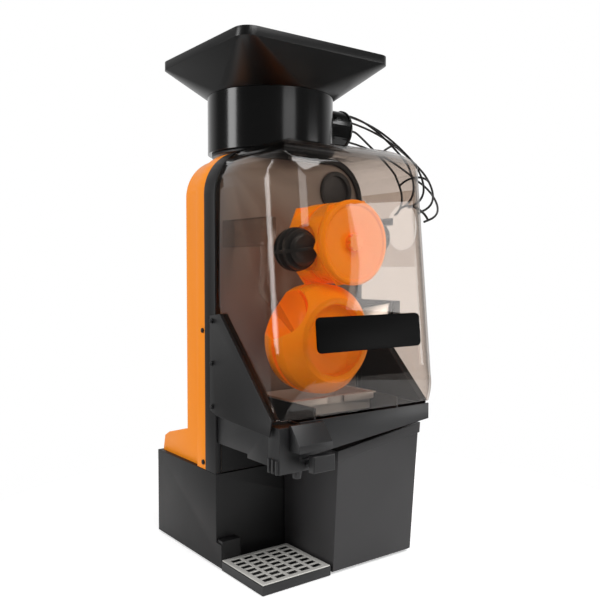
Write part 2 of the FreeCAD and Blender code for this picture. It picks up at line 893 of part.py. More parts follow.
def tap_button():
    """Push block with its stem, and the seal disc at the end of the stem."""
    back = button_front + button_depth
    block = box(button_left, hood_right, button_front, back, button_bottom, button_top)
    stem = rod_y(stem_radius, stem_x, stem_z, back - sheet, stem_tip_y)
    seal = rod_y(seal_radius, stem_x, stem_z, stem_tip_y - seal_length, stem_tip_y)
    upright = [edge for edge in block.Edges if edge.Length > button_top - button_bottom - seat_gap
               and edge.BoundBox.YMax < button_front + seat_gap]
    return join([block.makeFillet(sheet, upright), stem, seal])


def tap_spring():
    """Return spring between the push block and the valve, drawn as its sleeve."""
    back = button_front + button_depth
    sleeve = rod_y(spring_radius, stem_x, stem_z, back, valve_front)
    return sleeve.cut(rod_y(spring_radius - spring_wall, stem_x, stem_z, back - overrun, valve_front + overrun))


def strainer_box():
    """Perforated stainless pan that slides forward on the collector's two rails."""
    flange_bottom = rail_top + seat_gap
    flange_top = flange_bottom + strainer_sheet
    pan_half = rail_inner_x - strainer_side_gap
    pan_front = strainer_front + strainer_lip
    bottom = flange_bottom - strainer_depth
    flange = box(-strainer_flange_half, strainer_flange_half, strainer_front, strainer_rear,
                 flange_bottom, flange_top)
    pan = box(-pan_half, pan_half, pan_front, strainer_rear, bottom, flange_top)
    hollow = box(-pan_half + strainer_sheet, pan_half - strainer_sheet, pan_front + strainer_sheet,
                 strainer_rear - strainer_sheet, bottom + strainer_sheet, flange_top + overrun)
    lip = box(-pan_half, pan_half, strainer_front, strainer_front + strainer_sheet,
              flange_bottom - strainer_lip, flange_top)
    notch = box(-finger_tab_half, finger_tab_half, strainer_front - overrun, strainer_front + strainer_lip / 2,
                flange_bottom - strainer_lip - overrun, flange_top + overrun)
    tab = box(-finger_tab_half, finger_tab_half, strainer_front + strainer_lip / 2,
              strainer_front + strainer_lip / 2 + strainer_sheet, flange_top - finger_tab_depth, flange_top)
    holes = []
    columns = int((2 * pan_half - strainer_hole_pitch) / strainer_hole_pitch)
    rows = int((strainer_rear - pan_front - strainer_hole_pitch) / strainer_hole_pitch)
    for column in range(columns + 1):
        for row in range(rows + 1):
            x = (column - columns / 2) * strainer_hole_pitch
            y = (pan_front + strainer_rear) / 2 + (row - rows / 2) * strainer_hole_pitch
            hole = box(x - strainer_hole_radius, x + strainer_hole_radius, y - strainer_hole_radius,
                       y + strainer_hole_radius, bottom - overrun, bottom + overrun)
            holes.append(hole)
    pan = join([flange, pan, lip]).cut(hollow).cut(notch)
    return join([pan, tab]).cut(group(holes))


def drip_tray():
    """Shallow tray that sits on its tongue, with a skirt that hides the tongue."""
    left = -body_half_width
    rear = -toe_depth - seat_gap
    floor = floor_top + seat_gap
    outer = box(left, tray_right, tray_front, rear, tray_bottom, tray_top)
    inner = box(left + tray_wall, tray_right - tray_wall, tray_front + tray_wall, rear - tray_wall,
                floor + tray_wall, tray_top + overrun)
    below = box(left + tray_wall, tray_right - tray_wall, tray_front + tray_wall, rear + overrun,
                tray_bottom - overrun, floor)
    return outer.cut(inner).cut(below)


def drip_grille():
    """Punched stainless plate that lies on the tray, with a shallow flange that drops inside it."""
    left = -body_half_width + grille_edge
    right = tray_right - grille_edge
    front = tray_front + grille_edge
    rear = -toe_depth - grille_edge
    bottom = tray_top + seat_gap
    plate = box(left, right, front, rear, bottom, bottom + grille_thickness)
    inset = tray_wall - grille_edge + 2 * seat_gap
    skirt = box(left + inset, right - inset, front + inset, rear - inset, bottom - grille_flange, bottom)
    hollow_inset = inset + grille_thickness
    skirt = skirt.cut(box(left + hollow_inset, right - hollow_inset, front + hollow_inset, rear - hollow_inset,
                          bottom - grille_flange - overrun, bottom + overrun))
    pitch_x = (right - left - 2 * grille_border) / grille_columns
    pitch_y = (rear - front - 2 * grille_border) / grille_rows
    holes = []
    for column in range(grille_columns):
        for row in range(grille_rows):
            x = left + grille_border + pitch_x * (column + 0.5)
            y = front + grille_border + pitch_y * (row + 0.5)
            holes.append(box(x - grille_hole_width / 2, x + grille_hole_width / 2, y - grille_hole_depth / 2,
                             y + grille_hole_depth / 2, bottom - overrun, bottom + overrun))
    return join([plate, skirt]).cut(group(holes))


def bin_form(inset, bottom, top):
    """Four-sided bin body that widens upwards; inset gives the inside."""
    def section(z):
        share = (z - floor_top) / (bin_rim_right_z - floor_top)
        right = bin_right_bottom + (bin_right_top - bin_right_bottom) * share - inset
        front = bin_front_bottom + (bin_front_top - bin_front_bottom) * share + inset
        return Part.makePolygon([V(bin_left + inset, front, z), V(right, front, z),
                                 V(right, bin_rear - inset, z), V(bin_left + inset, bin_rear - inset, z),
                                 V(bin_left + inset, front, z)])
    return Part.makeLoft([section(bottom), section(top)], True, True)


def bin_rim_cut(drop):
    """Everything above the slanting rim of the bin, lowered by a drop."""
    slope = (bin_rim_right_z - bin_rim_left_z) / (bin_right_top - bin_left)
    left = bin_left - bin_width()
    right = bin_right_top + bin_width()
    left_z = bin_rim_left_z + slope * (left - bin_left) - drop
    right_z = bin_rim_left_z + slope * (right - bin_left) - drop
    return prism_y([(left, left_z), (right, right_z), (right, right_z + bin_width()), (left, right_z + bin_width())],
                   bin_front_top - bin_width(), bin_rear + bin_width())


def bin_width():
    return bin_right_top - bin_left


def waste_bin():
    """Peel bin with a slanting rim and a thicker band below it."""
    bottom = floor_top + seat_gap
    top = bin_rim_right_z + bin_wall
    body = bin_form(0, bottom, top)
    band = bin_form(-bin_lip_out, bottom, top)
    rear_trim = box(bin_left - overrun, bin_right_top + overrun, bin_rear, bin_rear + overrun, 0, top + overrun)
    band = band.common(bin_rim_cut(bin_lip_height)).cut(rear_trim)
    hollow = bin_form(bin_wall, bottom + bin_wall, top + overrun)
    return join([body, band]).cut(hollow).cut(bin_rim_cut(0))


def hood_side_outline(inset, y_rear):
    """Side view of the front cover as a closed wire: crown arc, leaning front, tucked chin."""
    top = hood_top - inset
    radius = crown_radius - inset
    arc_y = crown_front + crown_radius
    arc_z = hood_top - crown_radius
    crown_end = V(0, crown_front + inset, arc_z)
    crown_middle = V(0, arc_y - radius * diagonal_share, arc_z + radius * diagonal_share)
    crown_start = V(0, arc_y, top)
    brow = V(0, brow_y + inset, brow_z)
    tuck = V(0, tuck_y + inset, tuck_z)
    chin = V(0, chin_y + inset, chin_z - (overrun if inset else 0))
    rear_low = V(0, y_rear, chin.z)
    rear_high = V(0, y_rear, top)
    edges = [Part.makeLine(rear_high, crown_start),
             Part.Arc(crown_start, crown_middle, crown_end).toShape(),
             Part.makeLine(crown_end, brow),
             Part.makeLine(brow, tuck),
             Part.makeLine(tuck, chin),
             Part.makeLine(chin, rear_low),
             Part.makeLine(rear_low, rear_high)]
    return Part.Face(Part.Wire(edges))


def hood_lean():
    """How far the front face moves back for each millimetre of height."""
    return (crown_front - brow_y) / (hood_top - crown_radius - brow_z)


def hood_form(inset):
    """Common part of three prisms: the arch from the front, the side view, and the leaning plan view."""
    half = hood_half_width - inset
    front_view = arch(half, base_top, hood_top - inset, arch_radius - inset, brow_y - overrun, arch_depth)
    y_rear = hood_rear + (overrun if inset else 0)
    side_view = hood_side_outline(inset, y_rear)
    side_view.translate(V(-body_half_width, 0, 0))
    side_view = side_view.extrude(V(2 * body_half_width, 0, 0))
    height = hood_top - base_top
    front = brow_y - hood_lean() * (brow_z - base_top) + inset
    plan = rounded_rectangle(-half, half, front, base_depth, plan_radius - inset, base_top)
    plan_view = Part.Face(plan).extrude(V(0, hood_lean() * height, height))
    return front_view.common(side_view).common(plan_view)


def front_hood():
    """Smoked cover, one curved wall, open at the rear and below, with the fruit inlet in its right side."""
    shell = hood_form(0).cut(hood_form(hood_wall))
    along, inward = flange_line()
    start = V(0, gusset_shoulder_y, gusset_shoulder_z) - inward * seat_gap
    rise = along.z / along.y
    rear_z = start.z + rise * (overrun - start.y)
    front_z = start.z + rise * (chin_y + hood_wall - start.y)
    below = prism_x([(overrun, rear_z), (chin_y + hood_wall, front_z), (chin_y + hood_wall, base_top),
                     (overrun, base_top)], -body_half_width, body_half_width)
    inlet = rod_x(inlet_radius, inlet_y, inlet_z, hood_half_width - plan_radius / 2, body_half_width)
    return shell.cut(below).cut(inlet)


def badge_plate():
    """Blank rounded plate on the leaning front of the cover."""
    outline = rounded_rectangle(badge_left, badge_right, 0, badge_top - badge_bottom, badge_corner, 0)
    plate = Part.Face(outline).extrude(V(0, 0, badge_thickness))
    angle = math.degrees(math.atan(hood_lean()))
    plate.rotate(V(0, 0, 0), V(1, 0, 0), 90 - angle)
    surface_y = brow_y + hood_lean() * (badge_bottom - brow_z)
    plate.translate(V(0, surface_y, badge_bottom))
    return plate


def catch_bracket():
    """Small angle on the front of the arch, with a square hole, that holds up the top of the front cover."""
    top = hood_top - hood_wall - seat_gap
    tongue = box(-catch_half_width, catch_half_width, -catch_depth, 0, top - catch_height, top)
    hole = box(-catch_hole / 2, catch_hole / 2, -catch_depth / 2 - catch_hole / 2, -catch_depth / 2 + catch_hole / 2,
               top - catch_height - overrun, top + overrun)
    leg = box(-catch_half_width, catch_half_width, -catch_height, 0, arch_top - arch_width, top)
    return join([tongue, leg]).cut(hole)


def feeder_mount():
    """Plate between the top of the machine and the feeder cylinder, with the motor's shaft hole."""
    plate = rod_z(feeder_radius - feeder_mount_inset, 0, feeder_y, arch_top, feeder_mount_top)
    front = box(-body_half_width, body_half_width, -body_half_width, seat_gap, 0, hopper_top)
    hole = rod_z(feeder_shaft_radius + running_clearance, 0, feeder_y, arch_top - overrun, feeder_mount_top + overrun)
    return plate.cut(front).cut(hole)


def feeder_cylinder():
    """Round drum that holds the fruit wheel, with a side outlet."""
    outer = rod_z(feeder_radius, 0, feeder_y, feeder_mount_top, feeder_top)
    inner = rod_z(feeder_radius - feeder_wall, 0, feeder_y, feeder_mount_top + feeder_wall, feeder_top + overrun)
    hole = rod_z(2 * feeder_shaft_radius, 0, feeder_y, feeder_mount_top - overrun, feeder_mount_top + overrun * 2)
    outlet = rod_x(collar_outer + running_clearance, feeder_y, collar_z, feeder_radius / 2, feeder_radius + overrun)
    return outer.cut(inner).cut(hole).cut(outlet)


def outlet_collar():
    """Short tube from the feeder cylinder to the wire chute."""
    tube = rod_x(collar_outer, feeder_y, collar_z, feeder_radius / 2, collar_end_x)
    bore = rod_x(collar_bore, feeder_y, collar_z, 0, collar_end_x + overrun)
    inside = rod_z(feeder_radius - feeder_wall, 0, feeder_y, feeder_mount_top, hopper_top)
    rim = rod_x(collar_outer + sheet, feeder_y, collar_z, collar_end_x - 2 * sheet, collar_end_x)
    top_trim = box(0, collar_end_x + overrun, feeder_y - 2 * collar_outer, feeder_y + 2 * collar_outer,
                   feeder_top, hopper_top)
    return join([tube, rim]).cut(bore).cut(inside).cut(top_trim)


def fruit_wheel():
    """Cone with radial paddles that pushes the fruit round to the outlet, with its drive shaft."""
    profile = [(0, wheel_bottom), (wheel_radius, wheel_bottom), (wheel_radius, wheel_rim_z),
               (wheel_hub_radius, wheel_cone_z), (0, wheel_cone_z)]
    face = face_of([V(radius, feeder_y, z) for radius, z in profile])
    wheel = face.revolve(V(0, feeder_y, 0), V(0, 0, 1), 360)
    paddles = []
    for index in range(paddle_count):
        paddle = box(wheel_hub_radius / 2, wheel_radius, feeder_y - paddle_thickness / 2,
                     feeder_y + paddle_thickness / 2, wheel_bottom + overrun, paddle_top)
        paddle.rotate(V(0, feeder_y, 0), V(0, 0, 1), 360 / paddle_count * (index + 0.5))
        paddles.append(paddle)
    shaft = rod_z(feeder_shaft_radius, 0, feeder_y, arch_top - sheet, wheel_bottom + overrun)
    return join([wheel, shaft] + paddles)


def feeder_motor():
    """Round geared motor under the mounting plate, its output sleeve open for the wheel's shaft."""
    body = rod_z(feeder_motor_radius, 0, feeder_y, feeder_motor_bottom, arch_top)
    socket = rod_z(feeder_shaft_radius + running_clearance, 0, feeder_y, arch_top - 2 * overrun, arch_top + overrun)
    return body.cut(socket)


def hopper_form(inset, neck_z, top_z):
    """Loft from the round neck to the square shoulder, then a straight rim."""
    neck = feeder_radius - inset
    shoulder_z = hopper_shoulder_z
    half = hopper_half_width - inset
    low = rounded_rectangle(-neck, neck, feeder_y - neck, feeder_y + neck, neck - hopper_neck_flat, neck_z)
    high = rounded_rectangle(-half, half, hopper_front + inset, hopper_rear - inset, hopper_corner - inset / 2,
                             shoulder_z)
    rim = rounded_rectangle(-half, half, hopper_front + inset, hopper_rear - inset, hopper_corner - inset / 2,
                            shoulder_z)
    funnel = Part.makeLoft([low, high], True, True)
    return funnel.fuse(Part.Face(rim).extrude(V(0, 0, top_z - shoulder_z)))


def hopper():
    """Square funnel that stands on the feeder cylinder and is centred in it by a short spigot."""
    outer = hopper_form(0, feeder_top + seat_gap, hopper_top)
    inner = hopper_form(hopper_wall, feeder_top + seat_gap, hopper_top + overrun)
    floor = feeder_top + seat_gap
    spigot_radius = feeder_radius - feeder_wall - hopper_spigot_gap
    spigot = rod_z(spigot_radius, 0, feeder_y, feeder_top - hopper_spigot, floor + hopper_wall)
    bore = rod_z(spigot_radius - hopper_wall, 0, feeder_y, feeder_top - hopper_spigot - overrun, hopper_shoulder_z)
    flange = rod_z(feeder_radius - hopper_wall / 2, 0, feeder_y, floor, floor + hopper_wall)
    return join([outer.cut(inner), flange, spigot]).cut(bore)


def chute_height(length):
    """Height of the chute's centreline after a length in plan."""
    for (start, start_z), (end, end_z) in zip(chute_z_points, chute_z_points[1:]):
        if length <= end:
            break
    return start_z + (end_z - start_z) * (length - start) / (end - start)


def chute_station(length):
    """Plan position and heading of the centreline: quarter turn, straight, quarter turn, short run."""
    first = chute_turn * math.pi / 2
    run = feeder_y - chute_turn - chute_straight_end
    second = chute_end_turn * math.pi / 2
    turn_x = collar_end_x + chute_turn
    if length <= first:
        angle = length / chute_turn
        x = collar_end_x + chute_turn * math.sin(angle)
        y = feeder_y - chute_turn * (1 - math.cos(angle))
    elif length <= first + run:
        angle = math.pi / 2
        x = turn_x
        y = feeder_y - chute_turn - (length - first)
    elif length <= first + run + second:
        bend = (length - first - run) / chute_end_turn
        angle = math.pi / 2 + bend
        x = turn_x - chute_end_turn * (1 - math.cos(bend))
        y = chute_straight_end - chute_end_turn * math.sin(bend)
    else:
        angle = math.pi
        x = turn_x - chute_end_turn - (length - first - run - second)
        y = chute_straight_end - chute_end_turn
    return x, y, angle


def chute_length():
    curved = (chute_turn + chute_end_turn) * math.pi / 2
    run = feeder_y - chute_turn - chute_straight_end
    last = collar_end_x + chute_turn - chute_end_turn - chute_end_x
    return curved + run + last


def chute_frame(length):
    """Centre, sideways and upward unit vectors of the chute's cross-section."""
    x, y, angle = chute_station(length)
    drop = chute_height(length + chute_slope_run) - chute_height(length - chute_slope_run)
    if length < chute_slope_run:
        drop = 0
    ahead = V(math.cos(angle), -math.sin(angle), 0)
    side = V(math.sin(angle), math.cos(angle), 0)
    tangent = V(ahead.x * 2 * chute_slope_run, ahead.y * 2 * chute_slope_run, drop).normalize()
    up = tangent.cross(side) * -1
    return V(x, y, chute_height(length)), side, up, tangent


def chute_rod(turn):
    """One long rod of the chute as a ruled loft through faceted rings."""
    rings = []
    stations = chute_turn_steps * 3
    for index in range(stations + 1):
        length = chute_length() * index / stations
        centre, side, up, tangent = chute_frame(length)
        middle = centre + side * (chute_reach * math.cos(turn)) + up * (chute_reach * math.sin(turn))
        corners = []
        for corner in range(wire_sides + 1):
            bearing = 2 * math.pi * corner / wire_sides
            corners.append(middle + side * (wire_radius * math.cos(bearing)) + up * (wire_radius * math.sin(bearing)))
        rings.append(Part.makePolygon(corners))
    return Part.makeLoft(rings, True, True)


def chute_hoop(length):
    """Ring wire round the rods."""
    centre, side, up, tangent = chute_frame(length)
    return Part.makeTorus(chute_reach, wire_radius, centre, tangent)


def wire_chute():
    """Cage of four bent rods and hoops that guides the fruit down to the inlet in the cover."""
    rods = [chute_rod(math.pi / 4 + math.pi / 2 * index) for index in range(4)]
    hoops = [chute_hoop(length) for length in chute_hoop_lengths]
    return join(rods + hoops)


def chute_bracket():
    """Strip from the right side of the arch to the lower end of the chute."""
    inner = body_half_width
    height = chute_height(chute_length())
    strip = box(inner, inner + chute_bracket_sheet, inlet_y + chute_reach - 2 * wire_radius, chute_bracket_rear,
                height - chute_bracket_width / 2, height + chute_bracket_width / 2)
    return strip


def spin_gear(teeth, x, z, turn, bore):
    """Spur gear about an axis along Y, with straight-flanked teeth."""
    pitch_radius = gear_module * teeth / 2
    tip = pitch_radius + gear_module * 0.9
    root = pitch_radius - gear_module * 1.15
    step = 360.0 / teeth
    outline = []
    for tooth in range(teeth):
        middle = turn + tooth * step
        for radius, share in ((root, -0.36), (tip, -0.12), (tip, 0.12), (root, 0.36)):
            angle = math.radians(middle + share * step)
            outline.append((x + radius * math.cos(angle), z + radius * math.sin(angle)))
    gear = prism_y(outline, gear_front, gear_front + gear_width)
    return gear.cut(rod_y(bore, x, z, gear_front - overrun, gear_front + gear_width + overrun))


def upper_rotor_shaft():
    return rod_y(shaft_radius, upper_x, upper_z, gap_y - drum_half - gap_half, shaft_end_y)


def lower_rotor_shaft():
    return rod_y(shaft_radius, lower_x, lower_z, gap_front - cup_half + cup_recess_depth, shaft_end_y)


def press_balls():
    """Two press balls of crossed fins, on arms that reach out through the windows of the drum."""
    pieces = []
    for angle in (press_phase, press_phase + 180.0):
        ball = ball_at(press_radius, upper_x, gap_y, upper_z, angle, press_centre)
        fins = []
        for index in range(press_fin_count):
            middle = gap_y + (index - (press_fin_count - 1) / 2) * press_fin_pitch
            fins.append(box(-body_half_width, body_half_width, middle - press_fin_width / 2,
                            middle + press_fin_width / 2, base_top, arch_top))
        rib = box(core_radius, press_centre + press_radius + overrun, gap_y - press_radius - overrun,
                  gap_y + press_radius + overrun, -press_fin_width / 2, press_fin_width / 2)
        rib.rotate(V(0, 0, 0), V(0, 1, 0), -angle)
        rib.translate(V(upper_x, 0, upper_z))
        core = ball_at(press_core_radius, upper_x, gap_y, upper_z, angle, press_centre)
        arm = spoke(press_arm_radius, upper_x, gap_y, upper_z, angle, 0, press_centre)
        pieces += [ball.common(join(fins + [rib])), core, arm]
    core = rod_y(core_radius - sheet, upper_x, upper_z, gap_front, gap_back)
    bore = rod_y(shaft_radius, upper_x, upper_z, -body_half_width, 0)
    return join(pieces + [core]).cut(bore)


def drum_half_form(y0, y1):
    """One half of the drum with a window for each press ball."""
    half = rod_y(drum_radius, upper_x, upper_z, y0, y1)
    for angle in (press_phase, press_phase + 180.0):
        window = spoke(drum_window, upper_x, gap_y, upper_z, angle, core_radius, drum_radius + overrun)
        arm = spoke(press_arm_radius + seat_gap, upper_x, gap_y, upper_z, angle, 0, core_radius + overrun)
        half = half.cut(window).cut(arm)
    return half


def upper_drum():
    """Press drum in two halves, each with a cusped flange at its outer end."""
    front = drum_half_form(gap_front - drum_half, gap_front)
    back = drum_half_form(gap_back, gap_back + drum_half)
    outline = []
    for index in range(2 * flange_tips):
        radius = flange_tip_radius if index % 2 == 0 else flange_root_radius
        angle = math.radians(press_phase + 180.0 / flange_tips * index)
        outline.append((upper_x + radius * math.cos(angle), upper_z + radius * math.sin(angle)))
    front_flange = prism_y(outline, gap_front - drum_half - flange_thickness, gap_front - drum_half)
    back_flange = prism_y(outline, gap_back + drum_half, gap_back + drum_half + flange_thickness)
    sleeve = rod_y(core_radius / 2, upper_x, upper_z, gap_back + drum_half, plate_front - 2 * overrun)
    core = rod_y(core_radius - sheet, upper_x, upper_z, gap_front - seat_gap, gap_back + seat_gap)
    bore = rod_y(shaft_radius, upper_x, upper_z, -body_half_width - overrun, arch_depth)
    front_part = join([front, front_flange]).cut(core).cut(bore)
    back_part = join([back, back_flange, sleeve]).cut(core).cut(bore)
    return group([front_part, back_part])


def upper_face():
    """Round front disc with a raised rim, a shallow step and a deep dish round the knob."""
    rear = gap_front - drum_half - flange_thickness
    front = rear - face_thickness
    step_radius = face_radius - face_rim_width
    profile = [(0, rear), (face_radius, rear), (face_radius, front + face_edge), (face_radius - face_edge, front),
               (step_radius, front), (step_radius - sheet, front + face_step), (face_recess_radius, front + face_step),
               (face_recess_radius / 2, front + face_recess_depth), (0, front + face_recess_depth)]
    return turned(profile, upper_x, upper_z)


def fluted_knob(x, z, front, rear):
    """Round lock knob with finger flutes round its edge."""
    knob = rod_y(knob_radius, x, z, front, rear)
    for index in range(knob_flutes):
        knob = knob.cut(spoke_along(knob_flute_radius, x, z, 360.0 / knob_flutes * index, knob_radius, front, rear))
    return knob


def spoke_along(radius, x, z, angle, distance, y0, y1):
    """Rod parallel to Y at a distance and angle from an axis."""
    bearing = math.radians(angle)
    return rod_y(radius, x + distance * math.cos(bearing), z + distance * math.sin(bearing),
                 y0 - overrun, y1 + overrun)


def upper_knob():
    face_front = gap_front - drum_half - flange_thickness - face_thickness + face_recess_depth
    return fluted_knob(upper_x, upper_z, face_front - knob_height, face_front)


def lower_knob():
    recess = gap_front - cup_half + cup_recess_depth
    return fluted_knob(lower_x, lower_z, recess - cup_recess_depth - sheet, recess)


def cup_pocket(radius, angle):
    """Ball and mouth that a fruit half fills, as a cutting form."""
    heading = V(math.cos(math.radians(angle)), 0, math.sin(math.radians(angle)))
    ball = ball_at(radius, lower_x, gap_y, lower_z, angle, cup_pocket_centre)
    flare = cup_mouth_radius - cup_pocket_radius
    mouth = Part.makeCone(radius, radius + flare, cup_rim_radius + 2 * overrun - cup_pocket_centre,
                          V(lower_x, gap_y, lower_z) + heading * cup_pocket_centre, heading)
    return ball.fuse(mouth)


def cup_row(gap_side, outer_side):
    """One row of the cup rotor: a dome cut by two pockets, hollowed at its outer face."""
    reach = outer_side - gap_side
    belly = gap_side + reach * cup_belly_share
    sign = 1 if reach > 0 else -1
    profile = [(0, gap_side), (cup_rim_radius, gap_side), (cup_belly_radius, belly), (cup_face_radius, outer_side),
               (0, outer_side)]
    dome = turned(profile, lower_x, lower_z)
    recess = turned([(cup_hub_radius, outer_side + sign * overrun), (cup_recess_radius, outer_side + sign * overrun),
                     (cup_recess_radius - sheet, outer_side - sign * cup_recess_depth),
                     (cup_hub_radius, outer_side - sign * cup_recess_depth)], lower_x, lower_z)
    for angle in (cup_phase, cup_phase + 180.0):
        recess = recess.cut(cup_pocket(cup_pocket_radius + cup_pocket_wall, angle))
    dome = dome.cut(recess)
    for angle in (cup_phase, cup_phase + 180.0):
        dome = dome.cut(cup_pocket(cup_pocket_radius, angle))
    return dome


def front_cups():
    """Front row, counterbored for the lock knob."""
    outer = gap_front - cup_half
    knob_seat = rod_y(knob_radius + sheet, lower_x, lower_z, outer - overrun, outer + cup_recess_depth)
    bore = rod_y(shaft_radius, lower_x, lower_z, outer, gap_front + overrun)
    return cup_row(gap_front, outer).cut(knob_seat).cut(bore)


def rear_cups():
    """Rear row with the spacer in the knife gap and the sleeve towards the back plate."""
    outer = gap_back + cup_half
    spacer = rod_y(core_radius, lower_x, lower_z, gap_front, gap_back)
    for angle in (cup_phase, cup_phase + 180.0):
        spacer = spacer.cut(cup_pocket(cup_pocket_radius, angle))
    sleeve = rod_y(core_radius / 2, lower_x, lower_z, outer, plate_front - 2 * overrun)
    hub = rod_y(cup_hub_radius, lower_x, lower_z, gap_back, outer)
    bore = rod_y(shaft_radius, lower_x, lower_z, gap_front - overrun, arch_depth)
    for angle in (cup_phase, cup_phase + 180.0):
        hub = hub.cut(cup_pocket(cup_pocket_radius, angle))
    return join([cup_row(gap_back, outer), spacer, sleeve, hub]).cut(bore)


def upper_gear():
    return spin_gear(rotor_gear_teeth, upper_x, upper_z, meshing_angle + 180.0, shaft_radius)


def lower_gear():
    half_step = 180.0 / rotor_gear_teeth
    return spin_gear(rotor_gear_teeth, lower_x, lower_z, meshing_angle + half_step, shaft_radius)


def pinion_turn():
    """Turn of the pinion that puts a gap opposite the nearest tooth of the lower rotor's gear."""
    step = 360.0 / rotor_gear_teeth
    first_tooth = meshing_angle + step / 2
    lead = (270.0 - first_tooth) % step
    ratio = rotor_gear_teeth / pinion_teeth
    return 90.0 + 180.0 / pinion_teeth + lead * ratio


def motor_pinion():
    """Drive pinion with its shaft into the gearbox."""
    gear = spin_gear(pinion_teeth, pinion_x, pinion_z, pinion_turn(), pinion_shaft_radius)
    shaft = rod_y(pinion_shaft_radius, pinion_x, pinion_z, gear_front, carrier_rear + 2 * overrun)
    return join([gear, shaft])


def bearing_housings():
    """Flanged housings on the rear of the back plate for the front bearings."""
    houses = []
    for x, z in ((upper_x, upper_z), (lower_x, lower_z)):
        outer = rod_y(bearing_housing_radius, x, z, plate_rear, plate_rear + bearing_housing_length)
        houses.append(outer.cut(rod_y(bearing_radius, x, z, plate_rear - overrun, arch_depth)))
    return group(houses)


def rotor_bearings():
    """Front bearings in their housings and rear bushes in the carrier plate."""
    rings = []
    for x, z in ((upper_x, upper_z), (lower_x, lower_z)):
        front = rod_y(bearing_radius, x, z, plate_rear, plate_rear + bearing_length)
        rear = rod_y(bush_radius, x, z, carrier_front - sheet, carrier_front - sheet + bush_length)
        bore = rod_y(shaft_radius + running_clearance, x, z, 0, rear_depth)
        rings += [front.cut(bore), rear.cut(bore)]
    return group(rings)


def drive_carrier():
    """Steel plate behind the gears on four posts from the back plate."""
    plate = box(-carrier_half_width, carrier_half_width, carrier_front, carrier_rear, carrier_bottom, carrier_top)
    for x, z in ((upper_x, upper_z), (lower_x, lower_z)):
        plate = plate.cut(rod_y(bush_radius, x, z, 0, rear_depth))
    plate = plate.cut(rod_y(pinion_shaft_radius + sheet, pinion_x, pinion_z, 0, rear_depth))
    posts = []
    for x in (-carrier_half_width + post_inset, carrier_half_width - post_inset):
        for z in (carrier_bottom + post_inset, carrier_top - post_inset):
            posts.append(rod_y(post_radius, x, z, plate_rear, carrier_front))
    return join([plate] + posts)


def gearbox():
    """Right-angle gearbox bolted to the carrier plate."""
    body = box(pinion_x - gearbox_half_width, pinion_x + gearbox_half_width, carrier_rear, gearbox_rear,
               gearbox_bottom, gearbox_bottom + gearbox_height)
    bore = rod_y(pinion_shaft_radius + running_clearance, pinion_x, pinion_z, carrier_rear - overrun,
                 carrier_rear + 2 * overrun + seat_gap)
    return body.cut(bore)


def drive_motor():
    """Upright motor that hangs from the gearbox into the base."""
    return rod_z(motor_radius, pinion_x, motor_y, motor_bottom, gearbox_bottom)


def knife():
    """Stainless blade in the gap of the cup rotor."""
    outline = [(knife_tip_x, knife_tip_z), (knife_belly_x, knife_belly_high), (knife_root_x, knife_root_high),
               (knife_root_x, knife_root_low), (knife_belly_x, knife_belly_low)]
    return prism_y(outline, gap_y - knife_thickness / 2, gap_y + knife_thickness / 2)


def knife_holder():
    """Black arm from the back plate that clamps the knife."""
    arm = box(holder_left, holder_right, holder_front, plate_front, knife_root_low - sheet, knife_root_high + sheet)
    slot = box(holder_left - overrun, knife_root_x, gap_y - holder_slot / 2, gap_y + holder_slot / 2,
               knife_root_low - overrun, knife_root_high + overrun)
    return arm.cut(slot)


def peel_ejector():
    """Black block on the back plate with a thin arm into the gap of the cup rotor."""
    block = box(ejector_left, ejector_right, ejector_front, plate_front, ejector_bottom, ejector_top)
    width = ejector_width
    arm = prism_y([(ejector_left, ejector_bottom + width), (ejector_left, ejector_bottom),
                   (ejector_elbow_x - width, ejector_elbow_z), (ejector_tip_x, ejector_tip_z),
                   (ejector_tip_x, ejector_tip_z + width / 2), (ejector_elbow_x, ejector_elbow_z + width),
                   (ejector_right, ejector_bottom + width)],
                  gap_y - ejector_thickness / 2, gap_y + ejector_thickness / 2)
    return join([block, arm])


def power_inlet():
    """Plate on the rear of the base with the three-pin appliance inlet and the window of the switch."""
    middle = inlet_middle_z()
    plate = box(inlet_plate_left, inlet_plate_right, base_depth, base_depth + inlet_plate_thickness,
                inlet_plate_bottom, inlet_plate_top)
    body = box(socket_centre_x - socket_half_width, socket_centre_x + socket_half_width,
               base_depth - socket_depth, base_depth + inlet_plate_thickness,
               middle - socket_half_height, middle + socket_half_height)
    recess = box(socket_centre_x - socket_half_width + sheet, socket_centre_x + socket_half_width - sheet,
                 base_depth - socket_depth + sheet, base_depth + overrun,
                 middle - socket_half_height + sheet, middle + socket_half_height - sheet)
    window = box(rocker_centre_x - rocker_half_width - rocker_gap, rocker_centre_x + rocker_half_width + rocker_gap,
                 base_depth - overrun, base_depth + overrun,
                 middle - rocker_half_height - rocker_gap, middle + rocker_half_height + rocker_gap)
    ears = []
    for side in (-1, 1):
        inner = rocker_centre_x + side * (rocker_half_width + rocker_gap)
        outer = rocker_centre_x + side * (rocker_half_width + sheet)
        ear = box(min(inner, outer), max(inner, outer), base_depth - rocker_depth, base_depth,
                  middle - rocker_half_height / 2, middle + rocker_half_height / 2)
        pin_hole = rod_x(rocker_pin_radius + running_clearance, base_depth - rocker_depth / 2, middle,
                         min(inner, outer) - overrun, max(inner, outer) + overrun)
        ears.append(ear.cut(pin_hole))
    return join([plate.cut(window), body] + ears).cut(recess)


